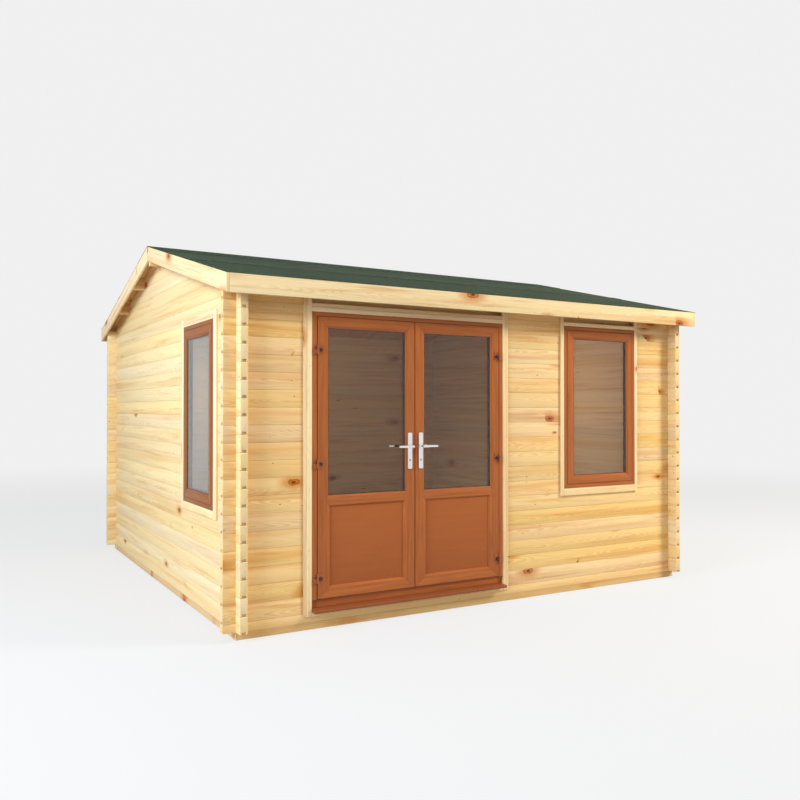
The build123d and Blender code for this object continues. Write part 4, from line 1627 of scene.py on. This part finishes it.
@dataclass
class Doorway(Assembly):
    """The door frame with its stop, seal, threshold and sill."""

    seed: int = 740

    HIDDEN = 0.008
    JAMB = 0.037
    HEAD = 0.027
    THRESHOLD = 0.055
    STEP = 0.0003
    STOP = 0.02
    GAP = 0.0026
    FACE = Section(0.0, 0.016, ((0.034, 0.016, 1.0, 1.0),), FOIL_EASING)
    FLANGE = Section(-0.0497, -0.0002)
    LIP = Section(-0.0497, -0.0236, easing=0.0012)
    WEATHER_SEAL = Section(-0.0236, -0.0212, easing=0.0009)
    GAP_STRIP = Section(-0.006, 0.0145, easing=0.0008)

    def build(self) -> None:
        """Frame members, then the seal on their stop, and the sill."""
        rim = FRONT.around("door_frame")
        hidden = self.HIDDEN
        behind = (0.0, hidden + self.HEAD, hidden + self.JAMB, hidden + self.JAMB)
        members = Joiner.ring(FRONT, rim, behind, self.FLANGE)
        edge = hidden + self.STEP
        face = rim.inset(self.THRESHOLD, edge, edge, edge)
        widths = (0.0, self.HEAD - self.STEP, self.JAMB, self.JAMB)
        members += Joiner.ring(FRONT, face, widths, self.FACE)
        inner = rim.inset(*behind)
        low = (inner.left + self.STEP, inner.bottom, self.FLANGE.back)
        high = (inner.right - self.STEP, inner.bottom + self.THRESHOLD, self.FLANGE.front)
        threshold = FRONT.block(low, high)
        members.append(Bench.ease(threshold, 0.003, 3))
        opening = inner.inset(self.THRESHOLD, 0.0, 0.0, 0.0)
        members += Joiner.ring(FRONT, opening, [self.STOP] * 4, self.LIP)
        strips = (0.0, self.GAP, self.GAP, self.GAP)
        members += Joiner.ring(FRONT, opening, strips, self.GAP_STRIP)
        self.dress(Bench.join("door_frame_members", members), FOIL, "door_frame")
        seal = Joiner.ring(FRONT, opening.inset(0.008), [0.007] * 4, self.WEATHER_SEAL)
        self.dress(Bench.join("door_frame_seal", seal), SEAL)
        # The sill's foil is painted darker as shade.
        sill = Bench.ease(Bench.node_copy("door_sill", "door_sill_section"), 0.002, 3)
        self.dress(sill, SHADED_SILL_FOIL, "door_sill")


@dataclass
class Leaf(Assembly):
    """One leaf of the double door, with its glass, panel, hinges and handle.

    Attributes:
        side: Which leaf it is.
        panel_bottom: Height of the panel's lower edge.
        panel_top: Height of the panel's upper edge.
        glass_bottom: Height of the lower edge of the glass that shows.
        stile: Width of a stile up to the glass.
        top_rail: Height of the top rail down to the glass.
    """

    side: Side = Side.LEFT
    panel_bottom: float = 0.265
    panel_top: float = 0.821
    glass_bottom: float = 0.886
    stile: float = 0.078
    top_rail: float = 0.076

    BODY = Section(-0.02, 0.02, easing=FOIL_EASING)
    PANEL_BEAD = Section(0.0084, 0.0192, ((0.018, 0.0192, 0.01, 0.012),))
    PANEL_BEAD_WIDTH = 0.031
    PANEL = 0.0081
    PANEL_LAP = 0.011
    MEETING_SEAL = 0.0022
    CAP = 0.02
    CAP_FROM_EDGE = 0.0175
    CAP_FRONT = 0.0362
    CAP_DROP = 0.002
    KNUCKLE = 0.032
    LEAF_FACE = 0.0202
    PLATE_FACES = ((0.0203, 0.029), (-0.0203, -0.029))
    PLATE_CORNER = 0.009
    LOCK_HEIGHT = 0.062
    LOCK_RADIUS = 0.0085
    LOCK_PROUD = 0.0016
    PLATE_FRONT = 0.0293
    ROSE_FRONT = 0.036
    GRIP_MIDDLE = 0.07
    GRIP_FACES = (0.0685, 0.0812)
    GRIP_HALF = 0.0095

    def build(self) -> None:
        """Members, glass, panel and seals, then hinges, plates and lever."""
        self.body = f"{self.side.word}_door"
        edge = FRONT.around(f"{self.side.word}_door_leaf")
        light = Rim(
            edge.left + self.stile, self.glass_bottom, edge.right - self.stile, edge.top - self.top_rail
        )
        panel = Rim(light.left, self.panel_bottom, light.right, self.panel_top)
        self.members(edge, light, panel)
        self.glass(light)
        self.hinges(edge)
        self.handle()

    def members(self, edge: Rim, light: Rim, panel: Rim) -> None:
        """Stiles, rails, beads and the panel.

        Args:
            edge: The leaf's outer edge.
            light: The edge of the glass that shows.
            panel: The edge of the panel's place.
        """
        word = self.side.word
        bead = FLAT_BEAD
        stile = self.stile - bead
        flats = (panel.bottom - bead - edge.bottom, self.top_rail - bead, stile, stile)
        parts = Joiner.ring(FRONT, edge, flats, self.BODY)
        rail = FRONT.block(
            (light.left - bead + SHY, panel.top + bead, self.BODY.back),
            (light.right + bead - SHY, light.bottom - bead, self.BODY.front),
        )
        parts.append(Bench.ease(rail, self.BODY.easing, 2))
        parts += Glazing.beads(FRONT, light)
        rim = panel.inset(-bead)
        widths = [self.PANEL_BEAD_WIDTH] * 4
        parts += Joiner.ring(FRONT, rim, widths, self.PANEL_BEAD)
        parts += Joiner.ring(FRONT, rim, widths, self.PANEL_BEAD.turned())
        self.dress(Bench.join(f"{word}_leaf_members", parts), FOIL, f"{word}_door_leaf")
        inner = panel.inset(-self.PANEL_LAP)
        low = (inner.left, inner.bottom, -self.PANEL)
        board = FRONT.block(low, (inner.right, inner.top, self.PANEL), f"{word}_leaf_panel")
        self.dress(Bench.ease(board, 0.001, 2), PANEL_FOIL, f"{word}_door_panel")

    def glass(self, light: Rim) -> None:
        """Panes, spacer bar and black seals.

        Args:
            light: The edge of the glass that shows.
        """
        word = self.side.word
        rim = FRONT.around(f"{word}_door_glass")
        panes = Bench.join(f"{word}_leaf_panes", Glazing.panes(FRONT, rim))
        self.dress(panes, GLASS, f"{word}_door_glass")
        self.dress(Bench.join(f"{word}_leaf_spacer", Glazing.spacer(FRONT, rim)), SPACER)
        edge = FRONT.around(f"{word}_door_leaf")
        seals = Glazing.gaskets(FRONT, light)
        meeting = edge.right if self.side is Side.LEFT else edge.left
        away = -self.side.value * self.MEETING_SEAL
        strip = FRONT.block(
            (min(meeting, meeting + away), edge.bottom + 0.004, -0.012),
            (max(meeting, meeting + away), edge.top - 0.004, 0.002),
        )
        seals.append(Bench.ease(strip, 0.0008, 2))
        self.dress(Bench.join(f"{word}_leaf_seals", seals), SEAL)

    def hinges(self, edge: Rim) -> None:
        """Eased hinges and a square cover on each leaf flag.

        Args:
            edge: The leaf's outer edge.
        """
        word = self.side.word
        node = f"{word}_door_hinges"
        hinges = Bench.ease(Bench.node_copy(node, f"{word}_leaf_hinges"), HINGE_EASING, 2)
        self.dress(hinges, HINGE, node)
        outer = edge.left if self.side is Side.LEFT else edge.right
        middle = outer - self.side.value * self.CAP_FROM_EDGE
        low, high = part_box(node)
        half = self.CAP / 2
        caps = []
        lowest, highest = low.z, high.z - self.KNUCKLE
        for joint in (lowest, (lowest + highest) / 2, highest):
            height = joint - self.CAP_DROP
            cap = FRONT.block(
                (middle - half, height - half, self.LEAF_FACE),
                (middle + half, height + half, self.CAP_FRONT),
                "cap",
            )
            Bench.choose(cap, lambda face: face.normal.y < -0.9)
            with Bench.editing(cap, "FACE"):
                bpy.ops.mesh.inset(thickness=0.003)
                bpy.ops.transform.translate(value=(0, -0.0006, 0))
            caps.append(Bench.ease(cap, 0.0012, 2))
        self.dress(Bench.join(f"{word}_hinge_covers", caps), COVER)

    def handle(self) -> None:
        """Rounded plates with a lock cylinder, and the lever on both sides of the leaf."""
        word = self.side.word
        node = f"{word}_handle_plates"
        rim = FRONT.around(node)
        middle = (rim.left + rim.right) / 2
        plates = []
        cylinders = []
        for inner, outer in self.PLATE_FACES:
            low = (rim.left, rim.bottom, min(inner, outer))
            plate = FRONT.block(low, (rim.right, rim.top, max(inner, outer)), "plate")
            Bench.choose_edges(
                plate, lambda one, two: abs(one.y - two.y) > 0.005 and abs(one.z - two.z) < 0.001
            )
            with Bench.editing(plate, "EDGE"):
                bpy.ops.mesh.bevel(offset=self.PLATE_CORNER, segments=6)
            outward = -1 if outer > 0 else 1
            Bench.choose(plate, lambda face, way=outward: face.normal.y * way > 0.9)
            with Bench.editing(plate, "FACE"):
                bpy.ops.mesh.inset(thickness=0.0035)
                bpy.ops.mesh.inset(thickness=0.001, depth=-0.0007)
            plates.append(Bench.ease(plate, 0.0016, 3, 40))
            cylinders.append(self.cylinder(middle, rim.bottom + self.LOCK_HEIGHT, inner, outer))
        body = f"{word}_door"
        self.dress(Bench.join(f"{word}_plates", plates), CHROME, node, body=body)
        self.dress(Bench.join(f"{word}_lock_cylinder", cylinders), LOCK, body=body)
        self.lever(middle)

    def cylinder(self, middle: float, height: float, inner: float, outer: float) -> Piece:
        """One end of the lock cylinder, with its keyway.

        Args:
            middle: Its place along the wall.
            height: Its height.
            inner: Where it starts, outward of the wall's face.
            outer: The plate's face.

        Returns:
            The piece.
        """
        way = -1 if outer > 0 else 1
        end = FRONT.place(middle, height, outer - way * self.LOCK_PROUD)
        barrel = Bench.rod("barrel", FRONT.place(middle, height, inner), end, self.LOCK_RADIUS)
        Bench.choose(barrel, lambda face: face.normal.y * way > 0.9)
        with Bench.editing(barrel, "FACE"):
            bpy.ops.mesh.inset(thickness=0.0022)
            bpy.ops.mesh.extrude_region_move(TRANSFORM_OT_translate={"value": (0, -way * 0.0006, 0)})
        return Bench.ease(barrel, 0.0004, 2, 40)

    def lever(self, middle: float) -> None:
        """The lever: a neck and a tapering grip on each side, and the spindle between them.

        Args:
            middle: The spindle's place along the wall.
        """
        word = self.side.word
        body = f"{word}_handle"
        low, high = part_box(f"{word}_lever")
        height = (low.z + high.z) / 2
        tip = low.x if self.side is Side.LEFT else high.x
        ends = sorted((tip, middle - self.side.value * 0.009))

        def bar(name: str, start: float, end: float, radius: float, sides: int = 24) -> Piece:
            """A bar on the spindle's axis, between two places outward of the wall."""
            first, last = (FRONT.place(middle, height, out) for out in (start, end))
            return Bench.rod(name, first, last, radius, sides)

        spindle = bar("spindle", -self.GRIP_MIDDLE, self.GRIP_MIDDLE, 0.0045, 12)
        parts = [Bench.ease(spindle, 0.0005, 1)]
        for sign in (1, -1):
            start = sign * self.PLATE_FRONT
            neck = bar("neck", start, sign * self.GRIP_MIDDLE, 0.0085)
            parts.append(Bench.ease(neck, 0.001, 2, 40))
            rose = bar("rose", start, sign * self.ROSE_FRONT, 0.0135)
            parts.append(Bench.ease(rose, 0.0022, 3, 40))
            faces = sorted(sign * face for face in self.GRIP_FACES)
            corner = (ends[0], height - self.GRIP_HALF, faces[0])
            grip = FRONT.block(corner, (ends[1], height + self.GRIP_HALF, faces[1]), "grip")
            Bench.choose_edges(grip, lambda one, two: max(abs(one.x - tip), abs(two.x - tip)) < 0.001)
            centre = FRONT.place(tip, height, sign * 0.076)
            with Bench.editing(grip, "EDGE"):
                bpy.ops.transform.resize(value=(1, 0.9, 0.88), center_override=centre)
            parts.append(Bench.ease(grip, 0.0052, 5))
        self.dress(Bench.join(f"{word}_lever_handle", parts), CHROME, f"{word}_lever", body=body)


@dataclass
class Trims(Assembly):
    """The planed boards round the openings, with their nail heads, and the frame's hinges."""

    seed: int = 780

    NODES = ("door_trim", "front_window_trim", "left_window_trim", "inside_trim")
    NAILED = (
        ("door_trim", FRONT, 0.040),
        ("front_window_trim", FRONT, 0.013),
        ("left_window_trim", LEFT, 0.026),
    )
    NAIL_STEP = 0.42
    NAIL_FACE = 0.0157
    NAIL_RADIUS = 0.0028

    def build(self) -> None:
        """Eased boards, then nails and hinge pins."""
        for node in self.NODES:
            boards = Bench.node_copy(node, f"{node}_boards")
            self.dress(Bench.ease(boards, 0.0022, 3), TRIM, node)
        self.nails()
        pins = Bench.ease(Bench.node_copy("door_hinge_pins", "frame_hinges"), HINGE_EASING, 2)
        self.dress(pins, HINGE, "door_hinge_pins")

    def nails(self) -> None:
        """A nail head at each end of the trim boards and about every 400 mm between."""
        heads = []
        for node, wall, inset in self.NAILED:
            rim = wall.around(node)
            tall = rim.top - rim.bottom
            count = max(3, round(tall / self.NAIL_STEP))
            for step in range(count + 1):
                up = rim.bottom + 0.03 + step * (tall - 0.09) / count
                for along in (rim.left + inset, rim.right - inset):
                    start = wall.place(along, up, self.NAIL_FACE - 0.001)
                    end = wall.place(along, up, self.NAIL_FACE + 0.0009)
                    head = Bench.rod("nail", start, end, self.NAIL_RADIUS, 10)
                    heads.append(Bench.ease(head, 0.0007, 1, 40))
        self.dress(Bench.join("trim_nails", heads), NAIL)


class Studio:
    """The camera, the floor, the lamps and the pale surroundings."""

    LENS = 36.39
    EYE = Vector((-3.647, -6.909, 1.466))
    TURN = math.radians(30.04)
    TILT = math.radians(0.62)
    BACKDROP = 0.872
    FLOOR_GLOW = 0.68
    WORLD_LIGHT = 0.46
    MIDDLE = (0.0, 0.0, 1.1)
    LAMPS = (
        ("left lamp", (-8.0, -3.5, 4.2), MIDDLE, 4.0, 575.0, (0.88, 1.0, 1.2)),
        ("front right lamp", (7.1, -6.6, 6.2), MIDDLE, 2.4, 820.0, (1.0, 0.97, 0.88)),
        ("top lamp", (0.0, -1.0, 7.5), MIDDLE, 5.0, 70.0, (1.0, 1.0, 1.0)),
        ("room lamp", (0.95, -0.75, 1.75), (1.93, -1.15, 1.3), 0.5, 4.4, (1.0, 0.72, 0.63)),
        ("rear room lamp", (0.2, 0.4, 2.0), (1.0, 1.9, 1.2), 0.6, 1.9, (1.0, 0.84, 0.78)),
        ("side room lamp", (-1.15, 1.35, 1.7), (-1.1, 1.95, 1.4), 0.5, 1.3, (1.0, 0.82, 0.66)),
    )

    def build(self) -> None:
        """Everything round the cabin."""
        self.camera()
        self.floor()
        self.lamps()
        self.world()
        bpy.context.scene.view_settings.view_transform = "Standard"

    def camera(self) -> None:
        """A camera at the height of a person's chest, to the left of the door."""
        bpy.ops.object.camera_add(location=self.EYE, rotation=(math.pi / 2 + self.TILT, 0, -self.TURN))
        camera = bpy.context.object
        camera.data.lens = self.LENS
        camera.data.sensor_width = 36.0
        bpy.context.scene.camera = camera

    def floor(self) -> None:
        """A wide pale floor that keeps the cabin's soft shadow."""
        bpy.ops.mesh.primitive_circle_add(vertices=64, radius=60, fill_type="NGON", location=(0, 0, 0))
        floor = bpy.context.object
        floor.name = "studio_floor"
        made = bpy.data.materials.new("studio floor")
        made.use_nodes = True
        graph = Graph(made.node_tree)
        place = graph.add("TexCoord").outputs["Object"]
        away = graph.add("VectorMath", {0: place}, operation="LENGTH").outputs["Value"]
        far = graph.spread(away, 6.0, 16.0, (0.0, 1.0))
        white = graph.add("BsdfDiffuse", {"Color": (0.18, 0.18, 0.18, 1)})
        glow = graph.add("Emission", {"Color": (1, 1, 1, 1), "Strength": self.FLOOR_GLOW})
        near = graph.add("AddShader", {0: white.outputs[0], 1: glow.outputs[0]})
        haze = graph.add("Emission", {"Color": (1, 1, 1, 1), "Strength": self.BACKDROP})
        shown = graph.add("MixShader", {0: far, 1: near.outputs[0], 2: haze.outputs[0]})
        plain = graph.add("BsdfDiffuse", {"Color": (0.5, 0.5, 0.5, 1)})
        camera = self.seen(graph)
        mixed = graph.add("MixShader", {0: camera, 1: plain.outputs[0], 2: shown.outputs[0]})
        graph.add("OutputMaterial", {"Surface": mixed.outputs[0]})
        floor.data.materials.append(made)

    @staticmethod
    def seen(graph: Graph) -> Socket:
        """1 for rays that show a surface directly, in a mirror or through glass."""
        rays = graph.add("LightPath").outputs
        mirrored = graph.maths("MAXIMUM", rays["Is Glossy Ray"], rays["Is Transmission Ray"])
        return graph.maths("MAXIMUM", rays["Is Camera Ray"], mirrored)

    def lamps(self) -> None:
        """Large soft lamps round the cabin, and dim ones in the room."""
        for name, place, aimed, size, power, colour in self.LAMPS:
            bpy.ops.object.light_add(type="AREA", location=place)
            lamp = bpy.context.object
            lamp.name = name
            lamp.data.size = size
            lamp.data.energy = power
            lamp.visible_camera = False
            lamp.visible_glossy = False
            lamp.visible_transmission = False
            lamp.data.color = colour
            aim = Vector(aimed) - Vector(place)
            lamp.rotation_euler = aim.to_track_quat("-Z", "Y").to_euler()

    def world(self) -> None:
        """Plain white light from all round, and a pale backdrop."""
        world = bpy.data.worlds.new("studio")
        bpy.context.scene.world = world
        world.use_nodes = True
        graph = Graph(world.node_tree)
        shown = graph.add("Background", {"Color": (1, 1, 1, 1), "Strength": self.BACKDROP})
        light = graph.add("Background", {"Color": (1, 0.99, 0.97, 1), "Strength": self.WORLD_LIGHT})
        mixed = graph.add("MixShader", {0: self.seen(graph), 1: light.outputs[0], 2: shown.outputs[0]})
        graph.add("OutputWorld", {"Surface": mixed.outputs[0]})


def main() -> None:
    """Builds the cabin round the frame, then the studio."""
    logging.basicConfig(level=logging.INFO, format="%(message)s")
    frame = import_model()
    log.info("the frame has %d nodes", len(frame["nodes"]))
    Studio().build()
    assemblies = (
        LogWalls(),
        Base(),
        Roof(),
        Trims(),
        Doorway(),
        Leaf(side=Side.LEFT, seed=800),
        Leaf(side=Side.RIGHT, seed=820),
        Window(word="front_window", wall=FRONT, seed=840),
        # The side window's foil is painted darker as shade.
        Window(word="left_window", wall=LEFT, foil=PAINTED_SHADE_FOIL, seed=860),
    )
    for assembly in assemblies:
        assembly.build()
        log.info("%s: %d pieces", type(assembly).__name__, len(assembly.made))


if __name__ == "__main__":
    main()
